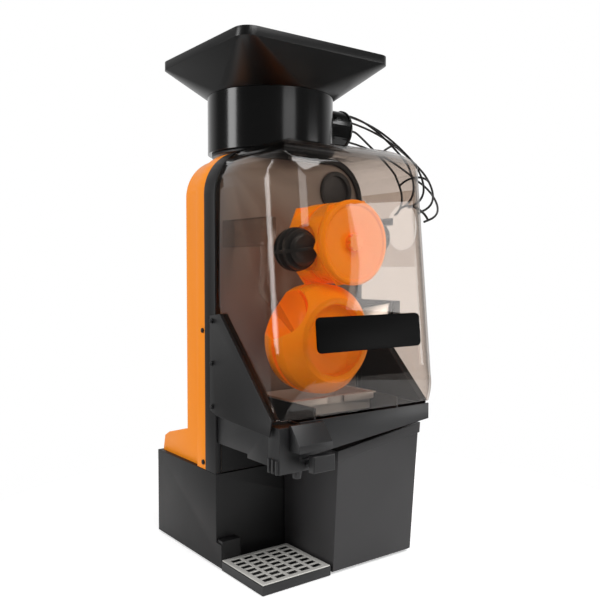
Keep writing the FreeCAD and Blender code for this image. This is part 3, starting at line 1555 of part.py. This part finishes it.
def switch_rocker():
    """Rocker of the power switch on its pin."""
    middle = inlet_middle_z()
    pivot = base_depth - rocker_depth / 2
    outer = base_depth + inlet_plate_thickness + rocker_bulge
    half = rocker_half_height
    body = prism_x([(pivot - rocker_depth / 4, middle - half / 2), (base_depth, middle - half + rocker_gap),
                    (outer, middle - half + rocker_gap), (outer - rocker_bulge / 2, middle),
                    (outer, middle + half - rocker_gap), (base_depth, middle + half - rocker_gap),
                    (pivot - rocker_depth / 4, middle + half / 2)],
                   rocker_centre_x - rocker_half_width, rocker_centre_x + rocker_half_width)
    pin = rod_x(rocker_pin_radius, pivot, middle, rocker_centre_x - rocker_half_width - sheet,
                rocker_centre_x + rocker_half_width + sheet)
    return join([body, pin])


parts = {
    "base_floor_plate": base_floor_plate(),
    "rubber_feet": rubber_feet(),
    "base_chassis": base_chassis(),
    "corner_block": corner_block(),
    "frame_band": frame_band(),
    "back_plate": back_plate(),
    "port_plug": port_plug(),
    "rear_cover": rear_cover(),
    "rear_vent_panel": rear_vent_panel(),
    "left_gusset": left_gusset(),
    "right_gusset": right_gusset(),
    "gusset_screws": gusset_screws(),
    "cover_screws": cover_screws(),
    "juice_collector": juice_collector(),
    "front_fascia": front_fascia(),
    "tap_body": tap_body(),
    "tap_valve": tap_valve(),
    "tap_nozzle": tap_nozzle(),
    "tap_hood": tap_hood(),
    "tap_button": tap_button(),
    "tap_spring": tap_spring(),
    "strainer_box": strainer_box(),
    "drip_tray": drip_tray(),
    "drip_grille": drip_grille(),
    "waste_bin": waste_bin(),
    "front_hood": front_hood(),
    "badge_plate": badge_plate(),
    "catch_bracket": catch_bracket(),
    "feeder_mount": feeder_mount(),
    "feeder_cylinder": feeder_cylinder(),
    "outlet_collar": outlet_collar(),
    "fruit_wheel": fruit_wheel(),
    "feeder_motor": feeder_motor(),
    "hopper": hopper(),
    "wire_chute": wire_chute(),
    "chute_bracket": chute_bracket(),
    "upper_rotor_shaft": upper_rotor_shaft(),
    "upper_drum": upper_drum(),
    "upper_face": upper_face(),
    "upper_knob": upper_knob(),
    "press_balls": press_balls(),
    "upper_gear": upper_gear(),
    "lower_rotor_shaft": lower_rotor_shaft(),
    "front_cups": front_cups(),
    "rear_cups": rear_cups(),
    "lower_knob": lower_knob(),
    "lower_gear": lower_gear(),
    "motor_pinion": motor_pinion(),
    "bearing_housings": bearing_housings(),
    "rotor_bearings": rotor_bearings(),
    "drive_carrier": drive_carrier(),
    "gearbox": gearbox(),
    "drive_motor": drive_motor(),
    "knife": knife(),
    "knife_holder": knife_holder(),
    "peel_ejector": peel_ejector(),
    "power_inlet": power_inlet(),
    "switch_rocker": switch_rocker(),
}

# Origin under the middle of the overall box
left_end = -body_half_width - gusset_sheet - screw_head_height
right_end = collar_end_x + chute_turn + chute_reach * diagonal_share + wire_radius
right_end = max(right_end, collar_end_x + chute_turn + chute_reach + wire_radius)
front_end = brow_y
rear_end = base_depth + inlet_plate_thickness + rocker_bulge
shift = V(-(left_end + right_end) / 2, -(front_end + rear_end) / 2, 0)

os.makedirs("parts", exist_ok=True)
for name, shape in parts.items():
    shape.translate(shift)
    shape.exportStep("parts/" + name + ".step")
print("origin shift", round(shift.x, 3), round(shift.y, 3))
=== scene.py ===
import math

import bmesh
import bpy
from mathutils import Matrix, Vector
from mathutils.geometry import interpolate_bezier


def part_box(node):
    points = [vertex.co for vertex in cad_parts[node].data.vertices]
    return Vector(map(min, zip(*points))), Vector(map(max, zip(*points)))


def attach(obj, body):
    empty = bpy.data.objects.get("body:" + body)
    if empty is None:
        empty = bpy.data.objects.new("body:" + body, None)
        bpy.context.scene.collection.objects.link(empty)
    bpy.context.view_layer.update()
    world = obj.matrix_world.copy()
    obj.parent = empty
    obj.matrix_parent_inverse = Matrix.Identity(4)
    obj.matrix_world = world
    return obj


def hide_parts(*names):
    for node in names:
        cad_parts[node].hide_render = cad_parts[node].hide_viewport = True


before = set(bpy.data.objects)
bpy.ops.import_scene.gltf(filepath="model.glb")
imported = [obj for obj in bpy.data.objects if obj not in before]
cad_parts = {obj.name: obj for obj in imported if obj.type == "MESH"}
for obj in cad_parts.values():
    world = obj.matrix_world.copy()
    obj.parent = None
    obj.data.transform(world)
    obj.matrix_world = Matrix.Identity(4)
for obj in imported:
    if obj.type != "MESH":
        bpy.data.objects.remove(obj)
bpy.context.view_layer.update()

# Base: a folded sheet-steel box on a floor plate, powder coated satin black, on four rubber feet.
# A low block of the same sheet closes the corner behind the drip tray.


def linear(code):
    """The linear colour of an sRGB hex code."""
    channels = [int(code[place:place + 2], 16) / 255 for place in (1, 3, 5)]
    return [c / 12.92 if c <= 0.04045 else ((c + 0.055) / 1.055) ** 2.4 for c in channels] + [1.0]


def add_node(tree, kind, settings=None, inputs=None, links=None):
    """Adds a node to a material with its settings, socket values and incoming links."""
    node = tree.nodes.new(kind)
    for key, value in (settings or {}).items():
        setattr(node, key, value)
    for key, value in (inputs or {}).items():
        node.inputs[key].default_value = value
    for key, source in (links or {}).items():
        tree.links.new(source, node.inputs[key])
    return node


def start_material(name):
    """An empty node material and its tree."""
    material = bpy.data.materials.new(name)
    material.use_nodes = True
    material.node_tree.nodes.clear()
    return material, material.node_tree


def stretched(tree, scale):
    """Object coordinates drawn out by a scale per axis, for brushed and turned metal."""
    place = add_node(tree, "ShaderNodeTexCoord")
    stretch = add_node(tree, "ShaderNodeMapping", inputs={"Scale": scale}, links={"Vector": place.outputs["Object"]})
    return stretch.outputs["Vector"]


def noise(tree, grain_mm, detail, vector=None):
    """Noise with grains of a size in millimetres."""
    if vector is None:
        vector = add_node(tree, "ShaderNodeTexCoord").outputs["Object"]
    cloud = add_node(tree, "ShaderNodeTexNoise", inputs={"Scale": 1000.0 / grain_mm, "Detail": detail},
                     links={"Vector": vector})
    return cloud.outputs["Fac"]


def spread(tree, source, low, high):
    """A value from 0 to 1 mapped between two others."""
    span = add_node(tree, "ShaderNodeMapRange", inputs={"To Min": low, "To Max": high}, links={"Value": source})
    return span.outputs["Result"]


def shades(tree, source, first, second):
    """Two sRGB colours mixed by a value."""
    mix = add_node(tree, "ShaderNodeMix", {"data_type": "RGBA"}, {"A": linear(first), "B": linear(second)},
                   {"Factor": source})
    return mix.outputs["Result"]


def relief(tree, source, strength, depth_mm):
    """A bumped normal from a height."""
    bump = add_node(tree, "ShaderNodeBump", inputs={"Strength": strength, "Distance": depth_mm / 1000},
                    links={"Height": source})
    return bump.outputs["Normal"]


def surface(tree, inputs, links):
    """The principled shader and the output of a material."""
    shader = add_node(tree, "ShaderNodeBsdfPrincipled", inputs=inputs, links=links)
    add_node(tree, "ShaderNodeOutputMaterial", links={"Surface": shader.outputs["BSDF"]})


def paint(piece, material):
    piece.data.materials.clear()
    piece.data.materials.append(material)


def bring_in(form, name):
    """An object in the scene from a bmesh."""
    mesh = bpy.data.meshes.new(name)
    form.to_mesh(mesh)
    form.free()
    piece = bpy.data.objects.new(name, mesh)
    bpy.context.scene.collection.objects.link(piece)
    return piece


def round_edges(piece, edge_mm, segments=2, smooth_angle=32):
    """A bevel along every edge sharper than the angle, with the faces shaded flat beside it."""
    edge = piece.modifiers.new("edge", "BEVEL")
    edge.width = edge_mm / 1000
    edge.segments = segments
    edge.limit_method = "ANGLE"
    edge.angle_limit = math.radians(smooth_angle)
    edge.harden_normals = True


def refined(node, body, material, edge_mm, segments=2, smooth_angle=32):
    """A copy of a CAD node with merged faces, rounded edges and smooth shading, which then stands for it."""
    form = bmesh.new()
    form.from_mesh(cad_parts[node].data)
    bmesh.ops.remove_doubles(form, verts=form.verts, dist=0.00002)
    bmesh.ops.dissolve_limit(form, angle_limit=math.radians(0.6), verts=form.verts, edges=form.edges)
    for face in form.faces:
        face.smooth = True
    piece = bring_in(form, node + "_finished")
    round_edges(piece, edge_mm, segments, smooth_angle)
    paint(piece, material)
    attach(piece, body)
    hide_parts(node)
    return piece


# The powder coat's fine orange peel softens every reflection.
powder_black, tree = start_material("powder_coated_sheet_steel")
cloud = noise(tree, 70.0, 4.0)
surface(tree, {"IOR": 1.5, "Specular IOR Level": 0.36},
        {"Base Color": shades(tree, cloud, "#131313", "#181718"), "Roughness": spread(tree, cloud, 0.38, 0.50),
         "Normal": relief(tree, noise(tree, 1.1, 2.0), 0.10, 0.3)})

# Rubber scatters the light and shows almost no gloss.
feet_rubber, tree = start_material("moulded_rubber")
surface(tree, {"Base Color": linear("#161616"), "IOR": 1.52},
        {"Roughness": spread(tree, noise(tree, 2.0, 3.0), 0.75, 0.95)})

for node, edge_mm in (("base_floor_plate", 0.4), ("base_chassis", 0.9), ("corner_block", 0.8)):
    refined(node, "machine", powder_black, edge_mm)
paint(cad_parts["rubber_feet"], feet_rubber)

# Arch: a thick bar bent to an arch that stands on the base and carries everything, powder coated like it.
# A moulded plug closes the round port in the plate.

# Moulded ABS has a fine spark-eroded grain, which turns highlights into a soft sheen.
moulded_black, tree = start_material("injection_moulded_black_abs")
surface(tree, {"Base Color": linear("#1A1A1B"), "IOR": 1.5},
        {"Roughness": spread(tree, noise(tree, 45.0, 3.0), 0.36, 0.50),
         "Normal": relief(tree, noise(tree, 0.7, 2.0), 0.14, 0.2)})

refined("frame_band", "machine", powder_black, 1.6, 3)
refined("port_plug", "machine", moulded_black, 0.8)

# Drive: hardened shafts in ball bearings, white acetal gears, steel pinion, zinc-plated carrier,
# gearbox and motor behind the back plate. The metal is turned or plated, the gears are hobbed.

# Turning marks run round the shafts and break the reflection into thin lines.
turned_steel, tree = start_material("turned_steel")
lines = noise(tree, 5.0, 3.0, stretched(tree, (1.0, 12.0, 1.0)))
surface(tree, {"Base Color": linear("#C3C4C6"), "Metallic": 1.0},
        {"Roughness": spread(tree, lines, 0.22, 0.38), "Normal": relief(tree, lines, 0.08, 0.2)})

# Zinc plating shows pale patches of different gloss.
zinc_plate, tree = start_material("zinc_plated_steel")
patch_mm = 9.0
place = add_node(tree, "ShaderNodeTexCoord")
spangle = add_node(tree, "ShaderNodeTexVoronoi", inputs={"Scale": 1000.0 / patch_mm},
                   links={"Vector": place.outputs["Object"]}).outputs["Distance"]
surface(tree, {"Metallic": 1.0},
        {"Base Color": shades(tree, spangle, "#9FA1A3", "#B4B6B8"), "Roughness": spread(tree, spangle, 0.35, 0.55)})

# Acetal lets a little light in, so the teeth look waxy.
gear_acetal, tree = start_material("machined_white_acetal")
surface(tree, {"Base Color": linear("#E4E2DA"), "IOR": 1.48, "Subsurface Weight": 0.15, "Subsurface Scale": 0.002},
        {"Roughness": spread(tree, noise(tree, 12.0, 3.0), 0.38, 0.5)})

for node in ("rotor_bearings", "upper_rotor_shaft", "lower_rotor_shaft", "motor_pinion", "tap_spring"):
    paint(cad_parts[node], turned_steel)
for node in ("bearing_housings", "drive_carrier", "gearbox", "drive_motor", "feeder_motor"):
    paint(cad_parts[node], zinc_plate)
for node in ("upper_gear", "lower_gear"):
    paint(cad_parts[node], gear_acetal)

# Rear cover: one thick moulding, orange through and through, with a satin skin.
# A vented service panel of black sheet is screwed to its back.

# The colour shifts slightly over the large faces, as in any moulding of this size.
orange_housing, tree = start_material("injection_moulded_orange_abs")
cloud = noise(tree, 90.0, 3.0)
surface(tree, {"IOR": 1.5, "Specular IOR Level": 0.22},
        {"Base Color": shades(tree, cloud, "#EE8818", "#F28D1C"), "Roughness": spread(tree, cloud, 0.30, 0.40),
         "Normal": relief(tree, noise(tree, 0.9, 2.0), 0.08, 0.2)})

refined("rear_cover", "machine", orange_housing, 1.2, 3, 40)
refined("rear_vent_panel", "machine", powder_black, 0.3)

# Gussets: laser-cut and folded sheet on both sides, with black button-head screws.
# Their slanted flange carries the side walls of the front cover.

# The blackened screws are dull metal with rubbed patches.
black_screw, tree = start_material("blackened_steel_screw")
surface(tree, {"Metallic": 0.6, "Roughness": 0.35},
        {"Base Color": shades(tree, noise(tree, 1.5, 3.0), "#1B1B1C", "#2A2A2B")})

refined("left_gusset", "machine", powder_black, 0.5)
refined("right_gusset", "machine", powder_black, 0.5)
refined("gusset_screws", "machine", black_screw, 1.0, 3)
refined("cover_screws", "machine", black_screw, 1.0, 3)

# Juice collector, fascia and tap: black food-grade mouldings that share a fine matt skin.
# The tap's body, hood and push block are separate mouldings.

for node, edge_mm in (("juice_collector", 0.8), ("front_fascia", 0.5), ("tap_body", 0.6), ("tap_valve", 0.6),
                      ("tap_nozzle", 0.6), ("tap_hood", 0.6), ("catch_bracket", 0.4)):
    refined(node, "machine", moulded_black, edge_mm)
refined("tap_button", "tap_push", moulded_black, 0.8)

# Strainer: a pan pressed and punched from stainless sheet, which slides in under the rotors.

# The satin finish spreads highlights evenly, so the sheet looks pale from every side.
satin_steel, tree = start_material("satin_punched_stainless_steel")
surface(tree, {"Base Color": linear("#D6D4CF"), "Metallic": 0.45, "IOR": 1.5},
        {"Roughness": spread(tree, noise(tree, 0.8, 3.0), 0.42, 0.55)})

refined("strainer_box", "strainer", satin_steel, 0.3)

# Back plate: stainless sheet let into the arch, bare behind the rotors.
# A thin black sheet lies in front of its lower part and makes the tap bay dark.


def thin_sheet(name, body, material, low, high):
    """A flat sheet between two corners, with softened edges."""
    edge_share = 0.3
    size = [far - near for near, far in zip(low, high)]
    form = bmesh.new()
    bmesh.ops.create_cube(form, size=1.0)
    bmesh.ops.scale(form, verts=form.verts, vec=size)
    bmesh.ops.translate(form, verts=form.verts, vec=[(near + far) / 2 for near, far in zip(low, high)])
    bmesh.ops.bevel(form, geom=form.edges[:], offset=min(size) * edge_share, affect="EDGES", segments=2, profile=0.5,
                    material=-1)
    sheet = bring_in(form, name)
    paint(sheet, material)
    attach(sheet, body)
    return sheet


# Bead blasting leaves a grey, even metal that hardly mirrors.
plate_steel, tree = start_material("bead_blasted_stainless_steel")
surface(tree, {"Base Color": linear("#8F857C"), "Metallic": 0.55, "IOR": 1.5},
        {"Roughness": spread(tree, noise(tree, 1.0, 3.0), 0.45, 0.6)})

refined("back_plate", "machine", plate_steel, 0.5)

niche_sheet = 0.0012
niche_stand_off = 0.0006
niche_side_gap = 0.002
niche_foot_gap = 0.001
niche_rise = 0.030
plate_low, plate_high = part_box("back_plate")
niche_rear = plate_low[1] - niche_stand_off
niche = thin_sheet("niche_panel", "machine", powder_black,
                   (plate_low[0] + niche_side_gap, niche_rear - niche_sheet, plate_low[2] + niche_foot_gap),
                   (plate_high[0] - niche_side_gap, niche_rear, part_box("juice_collector")[0][2] + niche_rise))

# Rotors: drum and cups moulded in glossy orange food-grade acetal, the press balls in black.
# The upper rotor carries the balls, the lower one two rows of cups.

# The thin orange walls scatter a little light inside, and a painted glow in their own colour keeps them bright behind
# the smoked cover.
orange_acetal, tree = start_material("moulded_orange_acetal")
cloud = noise(tree, 35.0, 3.0)
tone_and_glow = shades(tree, cloud, "#FF8C08", "#FF9610")
# Emission Strength paints a faint orange glow on the rotors, which give off no light of their own.
surface(tree, {"IOR": 1.48, "Specular IOR Level": 0.12, "Subsurface Weight": 0.2, "Subsurface Scale": 0.004,
               "Subsurface Radius": (1.0, 0.3, 0.05), "Emission Strength": 0.16},
        {"Base Color": tone_and_glow, "Roughness": spread(tree, cloud, 0.24, 0.34), "Emission Color": tone_and_glow})

refined("upper_drum", "upper_rotor", orange_acetal, 0.8)
refined("upper_face", "upper_rotor", orange_acetal, 1.2, 3)
refined("upper_knob", "upper_rotor", orange_acetal, 0.8)
refined("front_cups", "lower_rotor", orange_acetal, 0.8)
refined("rear_cups", "lower_rotor", orange_acetal, 0.8)
refined("lower_knob", "lower_rotor", orange_acetal, 0.8)
refined("press_balls", "upper_rotor", moulded_black, 0.5)

# Knife: a ground stainless blade that stands between the two rows of cups, in a black moulded holder.

# The brushing runs along the blade and draws its highlights out.
stainless, tree = start_material("brushed_stainless_steel")
brush = noise(tree, 0.5, 3.0, stretched(tree, (0.03, 1.0, 1.0)))
surface(tree, {"Base Color": linear("#D3D2CF"), "Metallic": 1.0},
        {"Roughness": spread(tree, brush, 0.28, 0.38), "Normal": relief(tree, brush, 0.04, 0.1)})

refined("knife", "machine", stainless, 0.4)
refined("knife_holder", "machine", moulded_black, 0.8)

# Front cover: one thin smoked polycarbonate moulding, clear enough to show the rotors in their own colour.
# The peel ejector and a flexible flap inside the fruit inlet are of the same smoke; a bare plate is bonded on.

# Seen edge-on the sheet darkens and turns to a mirror; seen square it is nearly clear.
smoked, tree = start_material("smoked_polycarbonate")
slant = add_node(tree, "ShaderNodeLayerWeight", inputs={"Blend": 0.5})
edge_on = add_node(tree, "ShaderNodeMath", {"operation": "POWER"}, {1: 4.0}, {0: slant.outputs["Facing"]})
grazing = add_node(tree, "ShaderNodeMath", {"operation": "POWER"}, {1: 5.0}, {0: slant.outputs["Facing"]})
see_through = add_node(tree, "ShaderNodeBsdfTransparent",
                       links={"Color": shades(tree, edge_on.outputs["Value"], "#F1ECE8", "#7D746C")})
skin = add_node(tree, "ShaderNodeBsdfAnisotropic",
                links={"Roughness": spread(tree, noise(tree, 120.0, 2.0), 0.015, 0.05)})
wall = add_node(tree, "ShaderNodeMixShader", links={0: spread(tree, grazing.outputs["Value"], 0.04, 0.9),
                                                    1: see_through.outputs["BSDF"], 2: skin.outputs["BSDF"]})
add_node(tree, "ShaderNodeOutputMaterial", links={"Surface": wall.outputs["Shader"]})

# The anodised plate is dead matt and stays black under the lamps.
plate_black, tree = start_material("anodised_black_plate")
surface(tree, {"Base Color": linear("#030303"), "IOR": 1.5, "Specular IOR Level": 0.06},
        {"Roughness": spread(tree, noise(tree, 1.2, 2.0), 0.42, 0.52)})

refined("front_hood", "front_cover", smoked, 0.8, 2, 40)
ejector = refined("peel_ejector", "machine", smoked, 0.6)
refined("badge_plate", "front_cover", plate_black, 0.4)

hood_wall = 0.003
flap_gap = 0.0006
flap_sheet = 0.0012
flap_front, flap_rear = -0.1405, -0.012
flap_low, flap_high = 0.470, 0.594
flap_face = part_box("front_hood")[1][0] - hood_wall - flap_gap
flap = thin_sheet("inlet_flap", "front_cover", smoked,
                  (flap_face - flap_sheet, flap_front, flap_low), (flap_face, flap_rear, flap_high))

# Fruit feeder and hopper: black mouldings stacked on the arch, with a slotted wheel inside.
# The drum is turned smooth and polished, the hopper satin, so that its walls blur what they mirror.


def black_abs(name, smoothest, roughest):
    """Black ABS between two roughnesses."""
    material, tree = start_material(name)
    surface(tree, {"Base Color": linear("#060606"), "IOR": 1.5},
            {"Roughness": spread(tree, noise(tree, 60.0, 3.0), smoothest, roughest)})
    return material


gloss_black = black_abs("polished_black_abs", 0.12, 0.20)
satin_black = black_abs("satin_black_abs", 0.30, 0.38)

refined("feeder_mount", "machine", moulded_black, 0.8)
refined("outlet_collar", "machine", gloss_black, 0.8)
refined("fruit_wheel", "feeder", moulded_black, 0.8)
refined("hopper", "fruit_hopper", satin_black, 1.2, 3, 12)

drum_low, drum_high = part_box("feeder_cylinder")
drum_radius = (drum_high[0] - drum_low[0]) / 2
drum_x, drum_y = (drum_low[0] + drum_high[0]) / 2, (drum_low[1] + drum_high[1]) / 2
drum_wall = 0.004
drum_bore = 0.012
drum_edge_mm = 1.0
outlet_z = 0.719
outlet_radius = 0.03455
turn_steps = 160
hole_steps = 96

form = bmesh.new()
outline = [(drum_bore, drum_low[2]), (drum_radius, drum_low[2]), (drum_radius, drum_high[2]),
           (drum_radius - drum_wall, drum_high[2]), (drum_radius - drum_wall, drum_low[2] + drum_wall),
           (drum_bore, drum_low[2] + drum_wall)]
corners = [form.verts.new((drum_x + radius, drum_y, height)) for radius, height in outline]
for first, second in zip(corners, corners[1:] + corners[:1]):
    form.edges.new((first, second))
bmesh.ops.spin(form, geom=form.verts[:] + form.edges[:], cent=(drum_x, drum_y, 0.0), axis=(0.0, 0.0, 1.0),
               angle=2 * math.pi, steps=turn_steps, use_merge=True)
bmesh.ops.recalc_face_normals(form, faces=form.faces)
drum = bring_in(form, "feeder_cylinder_turned")

form = bmesh.new()
bmesh.ops.create_cone(form, cap_ends=True, segments=hole_steps, radius1=outlet_radius, radius2=outlet_radius,
                      depth=drum_radius)
bmesh.ops.rotate(form, verts=form.verts, cent=(0.0, 0.0, 0.0), matrix=Matrix.Rotation(math.pi / 2, 3, "Y"))
bmesh.ops.translate(form, verts=form.verts, vec=(drum_x + drum_radius, drum_y, outlet_z))
cutter = bring_in(form, "outlet_cutter")
cut = drum.modifiers.new("outlet", "BOOLEAN")
cut.object = cutter
cut.solver = "EXACT"
cut_mesh = bpy.data.meshes.new_from_object(drum.evaluated_get(bpy.context.evaluated_depsgraph_get()))
drum.modifiers.remove(cut)
drum.data = cut_mesh
bpy.data.objects.remove(cutter)
for face in drum.data.polygons:
    face.use_smooth = True
round_edges(drum, drum_edge_mm)
paint(drum, gloss_black)
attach(drum, "machine")
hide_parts("feeder_cylinder")

# Wire chute: bent steel wire, welded and painted gloss black.
# Five rods twist down the route from the collar to the inlet, held by a ring and three partial hoops.

# The paint is thin enough for a faint metal glint along each wire.
chute_paint, tree = start_material("painted_steel_wire")
surface(tree, {"Base Color": linear("#1E1C1B"), "Metallic": 0.3},
        {"Roughness": spread(tree, noise(tree, 3.0, 2.0), 0.2, 0.3)})

wire_half = 0.0019
chute_radius = 0.033
chute_start = Vector((0.1018, 0.0635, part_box("wire_chute")[1][2] - chute_radius - wire_half))
chute_middle = Vector((0.1718, -0.0355, 0.6250))
chute_end = Vector((0.1108, -0.1095, 0.5380))
first_pull, last_pull, last_rise = 0.052, 0.038, 0.0152
middle_heading = Vector((0.0, -1.0, -0.95)).normalized()
bend_stations = 16
upper_bend = interpolate_bezier(chute_start, chute_start + Vector((first_pull, 0.0, 0.0)),
                                chute_middle - middle_heading * first_pull, chute_middle, bend_stations)
lower_bend = interpolate_bezier(chute_middle, chute_middle + middle_heading * last_pull,
                                chute_end + Vector((last_pull, 0.0, last_rise)), chute_end, bend_stations)
route = upper_bend + lower_bend[1:]
last = len(route) - 1


def round_the_chute(station, bearing):
    """A point on the cage: bearing 0 is its rear side, 90 its top."""
    before, after = route[max(station - 1, 0)], route[min(station + 1, last)]
    ahead = (after - before).normalized()
    side = Vector((0.0, 0.0, 1.0)).cross(ahead).normalized()
    turn = math.radians(bearing)
    return route[station] + chute_radius * (side * math.cos(turn) + ahead.cross(side) * math.sin(turn))


def bend_wire(points, closed=False):
    """One wire of the cage through the points."""
    wire = cage.splines.new("POLY")
    wire.points.add(len(points) - 1)
    for knot, point in zip(wire.points, points):
        knot.co = (*point, 1.0)
    wire.use_cyclic_u = closed


cage = bpy.data.curves.new("wire_chute_cage", "CURVE")
cage.dimensions = "3D"
cage.bevel_depth = wire_half
cage.bevel_resolution = 3
cage.use_fill_caps = True

rod_bearings = ((60, 40), (90, 75), (120, 105), (185, 140), (350, 10))
for first_bearing, last_bearing in rod_bearings:
    twist = (last_bearing - first_bearing + 180) % 360 - 180
    bend_wire([round_the_chute(station, first_bearing + twist * station / last) for station in range(last + 1)])
ring_step = 9
bend_wire([round_the_chute(0, bearing) for bearing in range(0, 360, ring_step)], closed=True)
hoop_steps = 12
hoop_spans = ((10, 53, 171), (19, 46, 158), (last - 1, 8, 142))
for station, low_bearing, high_bearing in hoop_spans:
    bend_wire([round_the_chute(station, low_bearing + (high_bearing - low_bearing) * step / hoop_steps)
               for step in range(hoop_steps + 1)])
bent_chute = bpy.data.objects.new("wire_chute_cage", cage)
bpy.context.scene.collection.objects.link(bent_chute)
paint(bent_chute, chute_paint)
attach(bent_chute, "machine")
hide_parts("wire_chute")
refined("chute_bracket", "machine", powder_black, 0.4)

# Drip tray, grille and waste bin: a moulded tray with a punched stainless grille, and a tapered moulded bin.
# All three are pulled out to be emptied.

# Polypropylene is a shade greyer and waxier than the ABS round it.
bin_plastic, tree = start_material("moulded_grey_polypropylene")
surface(tree, {"Base Color": linear("#282728"), "IOR": 1.49},
        {"Roughness": spread(tree, noise(tree, 80.0, 3.0), 0.42, 0.55),
         "Normal": relief(tree, noise(tree, 0.8, 2.0), 0.14, 0.2)})

refined("waste_bin", "bin", bin_plastic, 1.0, 3)
refined("drip_tray", "tray", moulded_black, 0.7)
refined("drip_grille", "grille", satin_steel, 0.35)

# Power inlet and switch: black mouldings snapped into the rear of the base.

refined("power_inlet", "machine", moulded_black, 0.4)
refined("switch_rocker", "power_rocker", moulded_black, 0.5)

# Studio: a round white floor, a white surround behind the object and four soft boxes round a dark room.
# Straight and through the cover the surround is full white; in a gloss it shows only where it lies.

# The floor glows for the camera alone, so that it meets the surround without an edge.
floor_white, tree = start_material("matt_white_floor")
floor_glow = 0.42
cloud_mm = 1000.0 / 1.5
ray = add_node(tree, "ShaderNodeLightPath")
lift = add_node(tree, "ShaderNodeMath", {"operation": "MULTIPLY"}, {1: floor_glow}, {0: ray.outputs["Is Camera Ray"]})
surface(tree, {"Roughness": 0.7, "Emission Color": linear("#FFFFFF")},
        {"Base Color": shades(tree, noise(tree, cloud_mm, 2.0), "#F4F4F4", "#F9F9F9"),
         "Emission Strength": lift.outputs["Value"]})

floor_radius = 0.66
form = bmesh.new()
bmesh.ops.create_circle(form, cap_ends=True, segments=128, radius=floor_radius)
floor = bring_in(form, "studio_floor")
paint(floor, floor_white)

camera_heading = 0.637
mirrored_from, mirrored_to = 0.3, 0.95
room_in_gloss = 0.12
room_fill = 0.55
world = bpy.data.worlds.new("studio_surround")
world.use_nodes = True
world.node_tree.nodes.clear()
tree = world.node_tree
ray = add_node(tree, "ShaderNodeLightPath")
place = add_node(tree, "ShaderNodeTexCoord")
behind = add_node(tree, "ShaderNodeVectorMath", {"operation": "DOT_PRODUCT"},
                  {1: (math.sin(camera_heading), math.cos(camera_heading), 0.0)}, {0: place.outputs["Generated"]})
mirrored = add_node(tree, "ShaderNodeMapRange",
                    inputs={"From Min": mirrored_from, "From Max": mirrored_to, "To Min": room_in_gloss,
                            "To Max": 1.0},
                    links={"Value": behind.outputs["Value"]})
clear = add_node(tree, "ShaderNodeMath", {"operation": "MAXIMUM"},
                 links={0: ray.outputs["Is Camera Ray"], 1: ray.outputs["Is Transmission Ray"]})
in_gloss = add_node(tree, "ShaderNodeMath", {"operation": "MULTIPLY"},
                    links={0: mirrored.outputs["Result"], 1: ray.outputs["Is Glossy Ray"]})
seen = add_node(tree, "ShaderNodeMath", {"operation": "MAXIMUM"},
                links={0: clear.outputs["Value"], 1: in_gloss.outputs["Value"]})
fill = add_node(tree, "ShaderNodeMath", {"operation": "MULTIPLY"}, {1: room_fill},
                {0: ray.outputs["Is Diffuse Ray"]})
strength = add_node(tree, "ShaderNodeMath", {"operation": "MAXIMUM"},
                    links={0: seen.outputs["Value"], 1: fill.outputs["Value"]})
sky = add_node(tree, "ShaderNodeBackground", inputs={"Color": linear("#FFFFFF")},
               links={"Strength": strength.outputs["Value"]})
add_node(tree, "ShaderNodeOutputWorld", links={"Surface": sky.outputs["Background"]})
bpy.context.scene.world = world


def soft_box(name, watts, size, spot, target):
    """Large rectangular lamp that faces a target."""
    lamp = bpy.data.lights.new(name, "AREA")
    lamp.energy = watts
    lamp.shape = "RECTANGLE"
    lamp.size, lamp.size_y = size
    holder = bpy.data.objects.new(name, lamp)
    bpy.context.scene.collection.objects.link(holder)
    holder.location = spot
    holder.rotation_euler = (Vector(target) - Vector(spot)).to_track_quat("-Z", "Y").to_euler()


middle = (-0.05, 0.0, 0.45)
drum_front = (-0.10, 0.0, 0.72)
cover_front = (-0.05, -0.19, 0.49)
soft_box("left_soft_box", 17, (0.55, 1.5), (-1.85, 0.55, 0.95), middle)
soft_box("front_strip", 1.8, (0.85, 0.26), (-0.10, -2.15, 1.13), drum_front)
soft_box("cover_soft_box", 14.5, (0.95, 1.1), (1.75, -1.64, 0.50), cover_front)
soft_box("top_soft_box", 48, (1.7, 1.4), (0.0, -1.9, 2.35), middle)

camera_spot = (-0.7746, -0.998, 0.4665)
camera_dip = -0.042
lens_mm = 44.45
camera = bpy.data.cameras.new("photo_view")
camera.sensor_width = 36.0
camera.lens = lens_mm
camera.clip_end = 50.0
viewer = bpy.data.objects.new("photo_view", camera)
bpy.context.scene.collection.objects.link(viewer)
viewer.location = camera_spot
viewer.rotation_euler = (math.pi / 2 + camera_dip, 0.0, -camera_heading)
bpy.context.scene.camera = viewer
bpy.context.scene.view_settings.view_transform = "Standard"
